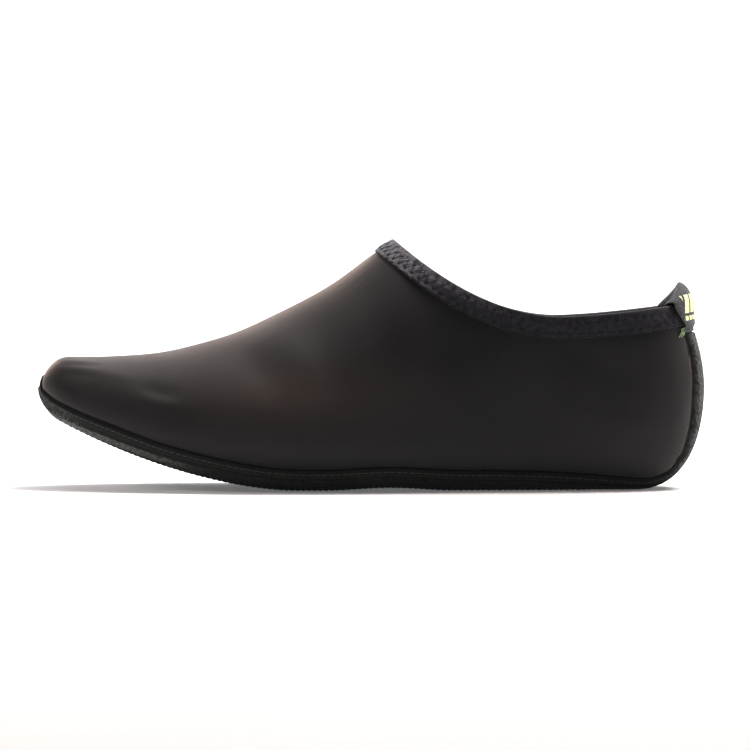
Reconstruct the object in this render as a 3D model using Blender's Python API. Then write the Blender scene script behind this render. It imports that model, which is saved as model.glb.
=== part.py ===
"""Water shoe for the left foot: stretch upper, wrapped rubber sole, insole, collar binding and heel pull tab.

Metres, +Z up. The toe points along -X, the heel along +X, and the outer side of the foot faces -Y.
The origin lies on the floor under the middle of the shoe's box.

Everything follows one surface, the outside of the upper over its last. A point of that surface is found
from its place in the side view, and each piece is a stretch of it, moved out or in along its normals.
"""
from collections import namedtuple

import bpy
import numpy as np
from mathutils import Matrix

# Driving sizes of the whole shoe
LENGTH = 0.250
BALL_WIDTH = 0.086
THROAT_HEIGHT = 0.0915
TOE_TIP_HEIGHT = 0.0377
BELLY_HEIGHT = 0.021
HEEL_BULGE_HEIGHT = 0.0385
HEEL_LEAN = 0.0075
TOE_SPRING = 0.0294
ARCH_RISE = 0.0012
TOE_SWING = 0.010
RIDGE_LEAN = 0.006
RIM_HEIGHT = 0.0072

# Collar: the edge of the knit, under its binding
COLLAR_LOW_HEIGHT = 0.0636
COLLAR_HEEL_HEIGHT = 0.0683

# Walls and the clearance between sewn pieces
UPPER_WALL = 0.0015
SOLE_PROUD = 0.0009
SOLE_DEPTH = 0.0019
SEAM_PROUD = 0.0005
SEAM_WIDTH = 0.0034
SEAM_STEP = 0.0004
FLAT_BITE = 0.0004
INSOLE_THICKNESS = 0.0025
GAP = 0.0003

# Collar binding: a folded elastic tape
BINDING_WIDTH = 0.0075
BINDING_THICKNESS = 0.0008
BINDING_FOLD = 0.0011

# Heel strip and the low peak that the sole's rim makes at the toe tip
TAIL_HALF_WIDTH = 0.015
TAIL_STEP = 0.0006
TOE_PEAK = 0.0048

# Heel tab: a folded woven tape
TAB_WIDTH = 0.033
TAB_THICKNESS = 0.0007
TAB_RISE = 0.0085
TAB_OUTER_LEG = 0.0102
TAB_INNER_LEG = 0.0065
TAB_ANKLE = 0.0020
TAB_BULGE = 0.0022
TAB_SWAY = 0.0020
TAB_DROOP = 0.74
TAB_DROOP_CURVE = 1.5
TAB_PINCH = 1.45

# Places along the last, as shares of its length from the toe
THROAT_ALONG = 0.5346
COLLAR_LOW_ALONG = 0.784
FEATHER_END = 0.974
HEEL_ROUND_START = 0.80
HEEL_CURVE_START = 0.88
TOE_SPRING_END = 0.40
TOE_ROUND_END = 0.20
TOE_TOP_END = 0.045
TOE_EDGE_END = 0.03
BELLY_START = 0.30
BULGE_START = 0.72
ARCH_START = 0.42
ARCH_END = 0.64

# Exponents of the rounded sections and of the side view's curves
SIDE_ROUND = 2.3
BOTTOM_ROUND = 4.0
CROWN_SLACK = 0.15
OVAL_END = 0.5
TOE_TOP_ROUND = 0.65
BELLY_CLIMB = 1.5
BULGE_CLIMB = 2.2
SPRING_CURVE = 1.8
HEEL_CORNER = 3.0
LEAN_CURVE = 1.75
COLLAR_FRONT_CURVE = 1.92
COLLAR_BACK_CURVE = 1.6

# Grid of the last's surface
SAMPLES = 241
SIDE_COLUMNS = 36
TAIL_COLUMNS = 3
SOLE_SPANS = 7
TAB_COLUMNS = 9
TAB_ARCH_POINTS = 9
ROW_SHARES = (0.0, 0.045, 0.085, 0.13, 0.19, 0.27, 0.37, 0.48, 0.60, 0.73, 0.87, 1.0)

TINY = 1e-9

LAST_LENGTH = LENGTH - 2 * SOLE_PROUD

# Sections of the last. The ridge is a share of THROAT_HEIGHT, the two half widths are shares of BALL_WIDTH,
# the centre line's swing of TOE_SWING, the crown's lean of RIDGE_LEAN and the sole's rim of RIM_HEIGHT.
Section = namedtuple("Section", "along ridge lateral medial centre lean rim crown")
SECTIONS = (
    Section(0.00, 0.537, 0.360, 0.360, 1.00, 0.00, 0.80, 2.30),
    Section(0.06, 0.536, 0.372, 0.372, 0.86, 0.10, 0.88, 2.30),
    Section(0.12, 0.538, 0.393, 0.391, 0.70, 0.30, 1.02, 2.28),
    Section(0.18, 0.553, 0.428, 0.421, 0.53, 0.60, 1.04, 2.24),
    Section(0.24, 0.588, 0.467, 0.4535, 0.36, 0.85, 1.08, 2.18),
    Section(0.30, 0.640, 0.502, 0.472, 0.21, 1.00, 1.08, 2.12),
    Section(0.36, 0.713, 0.516, 0.467, 0.08, 1.00, 1.05, 2.06),
    Section(0.44, 0.832, 0.500, 0.434, -0.05, 0.85, 1.01, 2.00),
    Section(0.53, 1.000, 0.465, 0.393, -0.12, 0.67, 0.99, 1.95),
    Section(0.60, 1.085, 0.430, 0.370, -0.12, 0.50, 0.99, 1.93),
    Section(0.68, 1.170, 0.399, 0.359, -0.09, 0.35, 0.96, 1.92),
    Section(0.76, 1.245, 0.377, 0.353, -0.05, 0.20, 0.88, 1.91),
    Section(0.86, 1.310, 0.363, 0.349, 0.00, 0.08, 0.62, 1.90),
    Section(0.93, 1.335, 0.361, 0.349, 0.00, 0.03, 0.39, 1.90),
    Section(1.00, 1.350, 0.360, 0.349, 0.00, 0.00, 0.25, 1.90),
)

# The strip that the sole sends up the back of the heel. The height is a share of COLLAR_HEEL_HEIGHT and the
# half width is a share of TAIL_HALF_WIDTH.
TailWidth = namedtuple("TailWidth", "height half_width")
TAIL_WIDTHS = (
    TailWidth(0.146, 1.29),
    TailWidth(0.234, 1.05),
    TailWidth(0.556, 1.00),
    TailWidth(1.010, 0.81),
)

# Colour, roughness and metallic value of each piece
Finish = namedtuple("Finish", "colour roughness metallic")
FINISHES = {
    "upper": Finish((0.020, 0.018, 0.018), 0.75, 0.0),
    "sole": Finish((0.035, 0.036, 0.036), 0.60, 0.0),
    "insole": Finish((0.030, 0.030, 0.032), 0.90, 0.0),
    "collar_binding": Finish((0.022, 0.022, 0.025), 0.70, 0.0),
    "heel_tab": Finish((0.110, 0.110, 0.115), 0.80, 0.0),
}


def clear_scene():
    """Removes every object that the file starts with."""
    for thing in list(bpy.data.objects):
        bpy.data.objects.remove(thing, do_unlink=True)


def closing(share, power):
    """Rises from 0 to 1 with a round start: (1 - (1 - share)^2)^power."""
    return (1 - (1 - np.clip(share, 0, 1)) ** 2) ** power


def section_value(column, along):
    """One column of SECTIONS at places along the last, by a natural cubic spline."""
    knots = np.array([section.along for section in SECTIONS])
    values = np.array([getattr(section, column) for section in SECTIONS])
    spans = np.diff(knots)
    slopes = np.diff(values) / spans
    inner = np.diag(2 * (spans[:-1] + spans[1:])) + np.diag(spans[1:-1], 1) + np.diag(spans[1:-1], -1)
    bends = np.concatenate(([0.0], np.linalg.solve(inner, 6 * np.diff(slopes)), [0.0]))
    place = np.clip(along, knots[0], knots[-1])
    left = np.clip(np.searchsorted(knots, place) - 1, 0, len(spans) - 1)
    span = spans[left]
    before = (place - knots[left]) / span
    after = 1 - before
    curve = (after ** 3 - after) * bends[left] + (before ** 3 - before) * bends[left + 1]
    return after * values[left] + before * values[left + 1] + curve * span ** 2 / 6


def ridge_height(along):
    """Height of the upper's ridge, rising from the toe tip in a short round curve."""
    top = section_value("ridge", along) * THROAT_HEIGHT
    return TOE_TIP_HEIGHT + (top - TOE_TIP_HEIGHT) * closing(along / TOE_TOP_END, TOE_TOP_ROUND)


def widest_height(along):
    """Height at which a section is widest: it climbs to the toe tip and to the heel's bulge."""
    toe = np.clip(1 - along / BELLY_START, 0, 1) ** BELLY_CLIMB
    heel = np.clip((along - BULGE_START) / (1 - BULGE_START), 0, 1) ** BULGE_CLIMB
    return BELLY_HEIGHT + (TOE_TIP_HEIGHT - BELLY_HEIGHT) * toe + (HEEL_BULGE_HEIGHT - BELLY_HEIGHT) * heel


def floor_line_height(along):
    """Lowest height of a section: toe spring, flat ball, slight arch, flat heel, curve up to the bulge."""
    base = SOLE_PROUD - FLAT_BITE
    spring = TOE_SPRING * np.clip(1 - along / TOE_SPRING_END, 0, 1) ** SPRING_CURVE
    arch_place = np.clip((along - ARCH_START) / (ARCH_END - ARCH_START), 0, 1)
    line = base + spring + ARCH_RISE * np.sin(np.pi * arch_place) ** 2
    line = TOE_TIP_HEIGHT + (line - TOE_TIP_HEIGHT) * closing(along / TOE_EDGE_END, OVAL_END)
    turn = np.clip((along - HEEL_CURVE_START) / (1 - HEEL_CURVE_START), 0, 1)
    return line + (HEEL_BULGE_HEIGHT - base) * (1 - np.sqrt(1 - turn ** HEEL_CORNER))


def heel_along(height):
    """Place of the back line at a height: the heel curve below the bulge, a lean to the front above it."""
    base = SOLE_PROUD - FLAT_BITE
    rise = np.clip((height - base) / (HEEL_BULGE_HEIGHT - base), 0, 1)
    curve = HEEL_CURVE_START + (1 - HEEL_CURVE_START) * (1 - (1 - rise) ** 2) ** (1 / HEEL_CORNER)
    above = np.clip((height - HEEL_BULGE_HEIGHT) / (COLLAR_HEEL_HEIGHT - HEEL_BULGE_HEIGHT), 0, None)
    return curve - HEEL_LEAN / LAST_LENGTH * above ** LEAN_CURVE


def feather_height(along):
    """Height of the line where the sole's rim meets the upper."""
    rim = RIM_HEIGHT * section_value("rim", along)
    toe = closing(along / TOE_EDGE_END, OVAL_END)
    heel = closing((FEATHER_END - along) / TOE_EDGE_END, OVAL_END)
    return floor_line_height(along) + rim * toe * heel


def collar_height(along):
    """Height of the knit's edge: power curves that rise from the low point to the throat and the heel."""
    front_rise = ridge_height(np.array(THROAT_ALONG)) - COLLAR_LOW_HEIGHT
    back_rise = COLLAR_HEEL_HEIGHT - COLLAR_LOW_HEIGHT
    back_end = heel_along(COLLAR_HEEL_HEIGHT)
    forward = np.clip((COLLAR_LOW_ALONG - along) / (COLLAR_LOW_ALONG - THROAT_ALONG), 0, 1)
    backward = np.clip((along - COLLAR_LOW_ALONG) / (back_end - COLLAR_LOW_ALONG), 0, 1)
    front = front_rise * forward ** COLLAR_FRONT_CURVE
    return COLLAR_LOW_HEIGHT + front + back_rise * backward ** COLLAR_BACK_CURVE


def half_width(column, along, height):
    """Half width of the last on one side at a place of the side view.

    The section's own width closes round at the toe and heel, in a crown above its widest height and in a
    flatter curve below it.
    """
    width = BALL_WIDTH * section_value(column, along) * closing(along / TOE_ROUND_END, OVAL_END)
    back = np.where(height > HEEL_BULGE_HEIGHT, heel_along(height), 1.0)
    turn = np.clip((along - HEEL_ROUND_START) / (back - HEEL_ROUND_START), 0, 1)
    heel = (1 - turn ** SIDE_ROUND) ** (1 / SIDE_ROUND)
    middle = widest_height(along)
    up = np.clip((height - middle) / np.maximum(ridge_height(along) - middle, TINY), 0, 1)
    down = np.clip((middle - height) / np.maximum(middle - floor_line_height(along), TINY), 0, 1)
    crown = section_value("crown", along)
    above = (1 - up ** (crown - CROWN_SLACK)) ** (1 / crown)
    below = (1 - down ** SIDE_ROUND) ** (1 / BOTTOM_ROUND)
    return width * heel * np.where(height > middle, above, below)


def centre_line(along, height):
    """Sideways place of a section's middle: the last's swing, and the crown's lean to the inner side."""
    middle = widest_height(along)
    up = np.clip((height - middle) / np.maximum(ridge_height(along) - middle, TINY), 0, 1)
    return TOE_SWING * section_value("centre", along) + RIDGE_LEAN * section_value("lean", along) * up ** 2


def walked(line):
    """Distance walked to each point of a line."""
    return np.concatenate(([0.0], np.cumsum(np.linalg.norm(np.diff(line, axis=0), axis=1))))


def at_distances(line, distances):
    """Points of a line at distances from its start."""
    travelled = walked(line)
    return np.stack([np.interp(distances, travelled, values) for values in line.T], axis=-1)


def at_shares(line, shares):
    """Points of a line at shares of its length."""
    return at_distances(line, shares * walked(line)[-1])


def side_lines():
    """The four border lines of the upper in the side view: feather, collar, ridge and heel."""
    even = np.linspace(0, 1, SAMPLES)
    eased = even ** 3 / (even ** 3 + (1 - even) ** 3)
    feather_along = FEATHER_END * eased
    feather = np.stack([feather_along * LAST_LENGTH, feather_height(feather_along)], axis=-1)
    back_end = heel_along(COLLAR_HEEL_HEIGHT)
    collar_along = THROAT_ALONG + (back_end - THROAT_ALONG) * even
    collar = np.stack([collar_along * LAST_LENGTH, collar_height(collar_along)], axis=-1)
    ridge_along = THROAT_ALONG * even ** 2
    ridge = np.stack([ridge_along * LAST_LENGTH, ridge_height(ridge_along)], axis=-1)
    heel_height = feather[-1, 1] + (COLLAR_HEEL_HEIGHT - feather[-1, 1]) * even
    heel = np.stack([heel_along(heel_height) * LAST_LENGTH, heel_height], axis=-1)
    return feather, collar, ridge, heel


def side_patch(lines, across, up):
    """Points of the side view between the four border lines, blended from all of them (a Coons patch).

    across runs from the ridge (0) to the heel (1), and up from the feather line (0) to the collar (1).
    """
    feather, collar, ridge, heel = lines
    s = across[:, None]
    t = up[:, None]
    corners = ((1 - s) * (1 - t) * feather[0] + s * (1 - t) * feather[-1]
               + (1 - s) * t * collar[0] + s * t * collar[-1])
    rows = (1 - t) * at_shares(feather, across) + t * at_shares(collar, across)
    columns = (1 - s) * at_shares(ridge, up) + s * at_shares(heel, up)
    return rows + columns - corners


def ring(place, tail_half_width):
    """One closed ring of the last from the points of its side view.

    It runs from the ridge along the outer side to the back line, and along the inner side to the ridge again,
    with even columns up to the heel strip and even columns across the strip.
    """
    along = place[:, 0] / LAST_LENGTH
    height = place[:, 1]
    middle = centre_line(along, height)
    sides = []
    for column, sign in (("lateral", -1), ("medial", 1)):
        width = half_width(column, along, height)
        width[[0, -1]] = 0
        line = np.stack([place[:, 0], middle + sign * width, height], axis=-1)
        total = walked(line)[-1]
        side = np.linspace(0, total - tail_half_width, SIDE_COLUMNS + 1)
        tail = np.linspace(total - tail_half_width, total, TAIL_COLUMNS + 1)[1:]
        sides.append(at_distances(line, np.concatenate((side, tail))))
    return np.concatenate((sides[0], sides[1][-2:0:-1]))


def upper_rings():
    """Rings of the last from the feather line to the collar; the top four frame the tab and the binding."""
    lines = side_lines()
    even = np.linspace(0, 1, SAMPLES)
    across = even ** 3 / (even ** 3 + (1 - even) ** 3)
    reach = (1 - across) * walked(lines[2])[-1] + across * walked(lines[3])[-1]
    leg = TAB_OUTER_LEG + GAP
    levels = [share * (1 - (leg + TAIL_STEP) / reach) for share in ROW_SHARES]
    levels.extend([1 - leg / reach, 1 - (BINDING_WIDTH + GAP) / reach, np.ones(SAMPLES)])
    heights = [row.height * COLLAR_HEEL_HEIGHT for row in TAIL_WIDTHS]
    halves = [row.half_width * TAIL_HALF_WIDTH for row in TAIL_WIDTHS]
    rings = []
    for level in levels:
        place = side_patch(lines, across, level)
        rings.append(ring(place, np.interp(place[-1, 1], heights, halves)))
    return np.array(rings)


def toe_peak():
    """Point of the ridge at which the sole's rim ends in its peak over the toe tip."""
    x, height = at_distances(side_lines()[2], np.array([TOE_PEAK]))[0]
    return np.array([x, centre_line(np.array(x / LAST_LENGTH), np.array(height)), height])


def sole_sections(feather_ring):
    """Sections of the last under the feather line, from its outer to its inner side.

    Across a section the height is the widest height less the depth times (1 - r^4)^(1/2.3), where r is the
    share of the half width. Near both edges two points frame the step of the seam.
    """
    columns = SIDE_COLUMNS + TAIL_COLUMNS
    even = np.linspace(0, 1, SAMPLES)
    sections = []
    for column in range(1, columns):
        outer = feather_ring[column]
        inner = feather_ring[-column]
        x = outer[0] + (inner[0] - outer[0]) * even
        y = outer[1] + (inner[1] - outer[1]) * even
        along = x / LAST_LENGTH
        middle = widest_height(along)
        off_centre = y - centre_line(along, middle)
        lateral = half_width("lateral", along, middle)
        medial = half_width("medial", along, middle)
        halves = np.where(off_centre < 0, lateral, medial)
        share = np.clip(np.abs(off_centre) / np.maximum(halves, TINY), 0, 1)
        z = middle - (middle - floor_line_height(along)) * (1 - share ** BOTTOM_ROUND) ** (1 / SIDE_ROUND)
        line = np.stack([x, y, z], axis=-1)
        line[0] = outer
        line[-1] = inner
        total = walked(line)[-1]
        shrink = min(1.0, total / (4 * SEAM_WIDTH))
        edge = np.array([0.0, SEAM_WIDTH, SEAM_WIDTH + SEAM_STEP]) * shrink
        floor = np.linspace(edge[-1], total - edge[-1], SOLE_SPANS + 1)
        sections.append(at_distances(line, np.concatenate((edge[:-1], floor, total - edge[-2::-1]))))
    return np.array(sections)


class Last:
    """The surface that every piece follows, as one welded grid with its normals."""

    def __init__(self):
        rings = upper_rings()
        sections = sole_sections(rings[0])
        rows, around = rings.shape[:2]
        self.columns = around // 2
        inside = sections[:, 1:-1].reshape(-1, 3)
        self.points = np.concatenate((rings.reshape(-1, 3), inside, [toe_peak()]))
        self.peak = len(self.points) - 1
        self.ring_index = np.arange(rows * around).reshape(rows, around)
        inner = np.arange(sections.shape[0] * (sections.shape[1] - 2)) + rows * around
        spans = sections.shape[1]
        self.sole_index = np.zeros((self.columns + 1, spans), dtype=int)
        self.sole_index[0] = self.ring_index[0, 0]
        self.sole_index[-1] = self.ring_index[0, self.columns]
        self.sole_index[1:-1, 0] = self.ring_index[0, 1:self.columns]
        self.sole_index[1:-1, -1] = self.ring_index[0, :self.columns:-1]
        self.sole_index[1:-1, 1:-1] = inner.reshape(sections.shape[0], spans - 2)
        self.normals = self.vertex_normals(np.concatenate((
            self.ring_faces(range(around)), grid_faces(self.sole_index))))
        between = self.normals[self.ring_index[:2, 0]].sum(axis=0)
        self.normals[self.peak] = between / np.linalg.norm(between)

    def vertex_normals(self, faces):
        """Normals of the points, from the faces around each of them."""
        corners = self.points[faces]
        facing = np.cross(corners[:, 2] - corners[:, 0], corners[:, 3] - corners[:, 1])
        normals = np.zeros_like(self.points)
        for corner in range(4):
            np.add.at(normals, faces[:, corner], facing)
        return normals / np.maximum(np.linalg.norm(normals, axis=1), TINY)[:, None]

    def ring_faces(self, columns):
        """Faces between the rings, for the given columns."""
        closed = np.concatenate((self.ring_index, self.ring_index[:, :1]), axis=1)
        return np.concatenate([grid_faces(closed[:, column:column + 2]) for column in columns])

    def below_collar(self, column, distances):
        """Points and normals at distances under the collar's edge; a column may lie between two others."""
        found = []
        for whole in (int(np.floor(column)), int(np.floor(column)) + 1):
            index = self.ring_index[::-1, whole % (2 * self.columns)]
            line = np.concatenate((self.points[index], self.normals[index]), axis=1)
            travelled = walked(self.points[index])
            found.append(np.stack([np.interp(distances, travelled, values) for values in line.T], axis=-1))
        share = column - np.floor(column)
        both = found[0] * (1 - share) + found[1] * share
        return both[:, :3], both[:, 3:] / np.linalg.norm(both[:, 3:], axis=1)[:, None]


def grid_faces(index):
    """Four-cornered faces of a grid of point numbers; at a pole two corners are one point."""
    corners = (index[:-1, :-1], index[:-1, 1:], index[1:, 1:], index[1:, :-1])
    return np.stack([corner.ravel() for corner in corners], axis=-1)


def nudged(points, index, towards, distance):
    """Moves the points of one list towards those of another by a distance, in place."""
    way = points[towards] - points[index]
    points[index] += way / np.linalg.norm(way, axis=-1)[..., None] * distance


def without_poles(faces):
    """Face lists in which a corner that repeats its neighbour is dropped."""
    return [[int(corner) for place, corner in enumerate(face) if corner != face[place - 1]] for face in faces]


def new_piece(name, points, faces, collection):
    """Adds a named object with its own material, made of the points that its faces use."""
    used, renumbered = np.unique(faces, return_inverse=True)
    mesh = bpy.data.meshes.new(name)
    mesh.from_pydata(points[used].tolist(), [], without_poles(renumbered.reshape(faces.shape)))
    mesh.validate()
    mesh.shade_smooth()
    piece = bpy.data.objects.new(name, mesh)
    collection.objects.link(piece)
    mesh.materials.append(new_material(name))
    return piece


def new_material(name):
    """A Principled material with the piece's colour, roughness and metallic value."""
    finish = FINISHES[name]
    material = bpy.data.materials.new(name)
    material.use_nodes = True
    shader = material.node_tree.nodes["Principled BSDF"]
    shader.inputs["Base Color"].default_value = (*finish.colour, 1.0)
    shader.inputs["Roughness"].default_value = finish.roughness
    shader.inputs["Metallic"].default_value = finish.metallic
    return material


def walled(outer, inner, faces):
    """Points and faces of the closed solid between two skins that share the same faces."""
    count = len(outer)
    sides = [(faces[:, side], faces[:, (side + 1) % 4]) for side in range(4)]
    edges = np.concatenate([np.stack(side, axis=-1) for side in sides])
    edges = edges[edges[:, 0] != edges[:, 1]]
    known = {tuple(edge) for edge in edges.tolist()}
    border = np.array([edge for edge in edges.tolist() if (edge[1], edge[0]) not in known])
    rim = np.stack([border[:, 1], border[:, 0], border[:, 0] + count, border[:, 1] + count], axis=-1)
    return np.concatenate((outer, inner)), np.concatenate((faces, faces[:, ::-1] + count, rim))


def build_upper(last, collection):
    """The knit shell: the surface from the feather line to the collar, cut out for the heel strip.

    At the toe tip its lower edge goes up round the peak of the sole's rim.
    """
    around = 2 * last.columns
    front = [column % around for column in range(-SIDE_COLUMNS, SIDE_COLUMNS)]
    points = last.points.copy()
    normals = last.normals.copy()
    rings = last.ring_index
    points[rings[0, 0]] = points[last.peak]
    normals[rings[0, 0]] = normals[last.peak]
    nudged(points, rings[0], rings[1], GAP / 2)
    nudged(points, rings[:, SIDE_COLUMNS], rings[:, SIDE_COLUMNS - 1], GAP / 2)
    nudged(points, rings[:, -SIDE_COLUMNS], rings[:, 1 - SIDE_COLUMNS], GAP / 2)
    inside = points - normals * UPPER_WALL
    return new_piece("upper", *walled(points, inside, last.ring_faces(front)), collection)


def build_sole(last, collection):
    """The rubber sheet: the dish under the feather line, the strip up the heel and the seam's step at its edge.

    Its outside lies flat on the floor at the ball and the heel, and its rim rises to a peak at the toe tip.
    Under the tab and the binding the strip is as thin as the knit.
    """
    rings = last.ring_index
    tail = list(range(SIDE_COLUMNS, 2 * last.columns - SIDE_COLUMNS))
    points = last.points.copy()
    tip = rings[0, 0]
    edge = np.concatenate(([last.peak], rings[0, 1:SIDE_COLUMNS + 1], rings[0, -SIDE_COLUMNS:]))
    inward = np.concatenate((last.sole_index[:SIDE_COLUMNS + 1, 1], last.sole_index[SIDE_COLUMNS:0:-1, -2]))
    inward[0] = tip
    nudged(points, edge, inward, GAP / 2)
    nudged(points, rings[:, SIDE_COLUMNS], rings[:, SIDE_COLUMNS + 1], GAP / 2)
    nudged(points, rings[:, -SIDE_COLUMNS], rings[:, -SIDE_COLUMNS - 1], GAP / 2)
    proud = np.full(len(points), SOLE_PROUD)
    proud[edge] = SEAM_PROUD
    proud[last.sole_index[1:SIDE_COLUMNS + 1, [1, -2]]] = SEAM_PROUD
    proud[rings[:, [SIDE_COLUMNS, -SIDE_COLUMNS]]] = SEAM_PROUD
    depth = np.full(len(points), SOLE_DEPTH)
    proud[rings[-3:]] = 0
    depth[rings[-3:]] = UPPER_WALL
    outer = points + last.normals * proud[:, None]
    outer[:, 2] = np.maximum(outer[:, 2], 0)
    inner = points - last.normals * depth[:, None]
    peak_faces = [[rings[0, -1], tip, last.peak, last.peak], [tip, rings[0, 1], last.peak, last.peak]]
    faces = np.concatenate((grid_faces(last.sole_index), last.ring_faces(tail), peak_faces))
    return new_piece("sole", *walled(outer, inner, faces), collection)


def build_insole(last, collection):
    """The footbed: a foam sheet that follows the inside of the sole and ends short of its rim."""
    faces = grid_faces(last.sole_index[2:SIDE_COLUMNS + 1, 2:-2])
    under = last.points - last.normals * (SOLE_DEPTH + GAP)
    over = under - last.normals * INSOLE_THICKNESS
    return new_piece("insole", *walled(under, over, faces), collection)


def swept(sections):
    """Points of closed sections in one list, and their numbers as a grid whose last column is its first."""
    count, size = sections.shape[:2]
    index = np.arange(count * size).reshape(count, size)
    return sections.reshape(-1, 3), np.concatenate((index, index[:, :1]), axis=1)


def binding_profile():
    """The folded tape's section as (distance below the edge, distance out from the surface) pairs."""
    outside = GAP + BINDING_THICKNESS
    inside = -UPPER_WALL - GAP
    deep = inside - BINDING_THICKNESS
    corner = BINDING_THICKNESS / 2
    return np.array([
        (BINDING_WIDTH, GAP), (BINDING_WIDTH, outside), (BINDING_WIDTH / 2, outside), (0, outside),
        (corner - BINDING_FOLD, outside - corner / 2), (-BINDING_FOLD, outside - corner * 2),
        (-BINDING_FOLD, deep + corner * 2), (corner - BINDING_FOLD, deep + corner / 2),
        (0, deep), (BINDING_WIDTH / 2, deep), (BINDING_WIDTH, deep),
        (BINDING_WIDTH, inside), (BINDING_WIDTH / 2, inside),
        (-GAP, inside), (-GAP, GAP), (BINDING_WIDTH / 2, GAP),
    ])


def on_collar(last, column, profile):
    """Places a section's (below, out) pairs on the surface under the collar, at one column."""
    below = profile[:, 0]
    points, normals = last.below_collar(column, np.clip(below, 0, None))
    edge, lower = last.below_collar(column, np.array([0.0, BINDING_WIDTH / 2]))[0]
    up = (edge - lower) / np.linalg.norm(edge - lower)
    return points + normals * profile[:, 1:] + up * np.clip(-below, 0, None)[:, None]


def build_binding(last, collection):
    """The elastic tape folded over the collar's edge, all the way round."""
    profile = binding_profile()
    sections = np.array([on_collar(last, column, profile) for column in range(2 * last.columns)])
    points, index = swept(sections)
    looped = np.concatenate((index, index[:1]))
    return new_piece("collar_binding", points, grid_faces(looped.T), collection)


def tab_profile(crest):
    """The pull tab's section for one crest height: outer leg, arch over the binding and inner leg.

    The leg lies on the strip, climbs over the binding's edge at its ankle and leans out. The arch is half an
    oval, pinched towards its crest, that sways outwards; the lower its crest, the squarer and less full it is.
    """
    half = TAB_THICKNESS / 2
    seat = GAP + half
    over = seat + BINDING_THICKNESS + 2 * GAP
    fullness = np.sqrt(crest / TAB_RISE)
    raised = over + TAB_BULGE * fullness
    inner = -UPPER_WALL - 2 * GAP - BINDING_THICKNESS - half
    turn = np.linspace(0, np.pi, TAB_ARCH_POINTS)
    lean = TAB_SWAY * fullness ** 2
    across = np.sign(np.cos(turn)) * np.abs(np.cos(turn)) ** TAB_PINCH
    sway = (raised + inner) / 2 + (raised - inner) / 2 * across + lean * np.sin(turn)
    arch = np.stack([(half - crest) * np.clip(np.sin(turn), 0, 1) ** fullness, sway], axis=-1)
    ankle = [(BINDING_WIDTH + TAB_ANKLE, seat), (BINDING_WIDTH + TAB_ANKLE / 2, (seat + over) / 2)]
    shin = [(BINDING_WIDTH - GAP, over), (BINDING_WIDTH / 2, (over + raised) / 2)]
    path = np.concatenate(([(TAB_OUTER_LEG, seat)], ankle, shin, arch, [(TAB_INNER_LEG, inner)]))
    way = np.gradient(path, axis=0)
    side = np.stack([way[:, 1], -way[:, 0]], axis=-1) / np.linalg.norm(way, axis=1)[:, None]
    return np.concatenate((path + side * half, (path - side * half)[::-1]))


def build_tab(last, collection):
    """The woven pull tab: a wide tape looped over the collar at the heel, highest at its middle."""
    collar = last.points[last.ring_index[-1]]
    travelled = walked(collar)
    places = np.linspace(-0.5, 0.5, TAB_COLUMNS)
    columns = np.interp(travelled[last.columns] + places * TAB_WIDTH, travelled, np.arange(len(collar)))
    crests = TAB_RISE * (1 - TAB_DROOP * np.abs(2 * places) ** TAB_DROOP_CURVE)
    profiles = [tab_profile(crest) for crest in crests]
    sections = np.array([on_collar(last, *pair) for pair in zip(columns, profiles)])
    points, index = swept(sections)
    size = sections.shape[1]
    half = size // 2
    faces = [grid_faces(index.T)]
    for row, step in ((index[0], 1), (index[-1], -1)):
        cap = np.stack([row[:half], row[size - 1:half - 1:-1]])
        faces.append(grid_faces(cap)[:, ::step])
    return new_piece("heel_tab", points, np.concatenate(faces), collection)


def centre_on_floor(pieces):
    """Moves the meshes so that the shoe's box is centred over the origin."""
    points = np.array([vertex.co for piece in pieces for vertex in piece.data.vertices])
    middle = (points.min(axis=0) + points.max(axis=0)) / 2
    for piece in pieces:
        piece.data.transform(Matrix.Translation((-middle[0], -middle[1], 0)))


def main():
    """Builds the shoe's five pieces in a collection of their own."""
    clear_scene()
    collection = bpy.data.collections.new("water_shoe")
    bpy.context.scene.collection.children.link(collection)
    last = Last()
    makers = (build_upper, build_sole, build_insole, build_binding, build_tab)
    centre_on_floor([maker(last, collection) for maker in makers])


main()
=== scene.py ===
"""Looks of a left water shoe: knit upper, wrapped rubber sole, insole, bound collar and heel pull tab.

Every new piece follows one surface, the outside of the upper over its last, worked out on fine grids with
numpy. A piece is a stretch of that surface, moved out or in along its normals. Lengths are metres; the toe
points along -X and the outer side of the foot faces -Y.
"""

import logging
from collections.abc import Callable, Sequence
from dataclasses import dataclass
from enum import Enum

import bpy
import numpy as np
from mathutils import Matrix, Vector


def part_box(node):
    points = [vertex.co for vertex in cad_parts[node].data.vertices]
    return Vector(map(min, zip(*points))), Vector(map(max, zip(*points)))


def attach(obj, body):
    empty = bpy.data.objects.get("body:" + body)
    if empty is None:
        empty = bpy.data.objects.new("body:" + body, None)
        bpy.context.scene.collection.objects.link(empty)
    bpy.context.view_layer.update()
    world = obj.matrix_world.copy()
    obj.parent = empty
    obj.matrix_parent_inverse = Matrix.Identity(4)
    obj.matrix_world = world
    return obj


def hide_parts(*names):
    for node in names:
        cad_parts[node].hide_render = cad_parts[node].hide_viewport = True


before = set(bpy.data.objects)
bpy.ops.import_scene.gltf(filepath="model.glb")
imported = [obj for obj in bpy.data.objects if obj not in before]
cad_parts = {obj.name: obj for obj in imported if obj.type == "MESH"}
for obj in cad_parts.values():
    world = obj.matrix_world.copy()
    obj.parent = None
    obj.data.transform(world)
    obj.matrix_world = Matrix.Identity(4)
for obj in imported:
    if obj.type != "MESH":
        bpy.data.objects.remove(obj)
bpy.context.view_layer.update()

Array = np.ndarray
Socket = bpy.types.NodeSocket
Colour = tuple[float, float, float]
Place = tuple[float, float, float]

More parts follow.
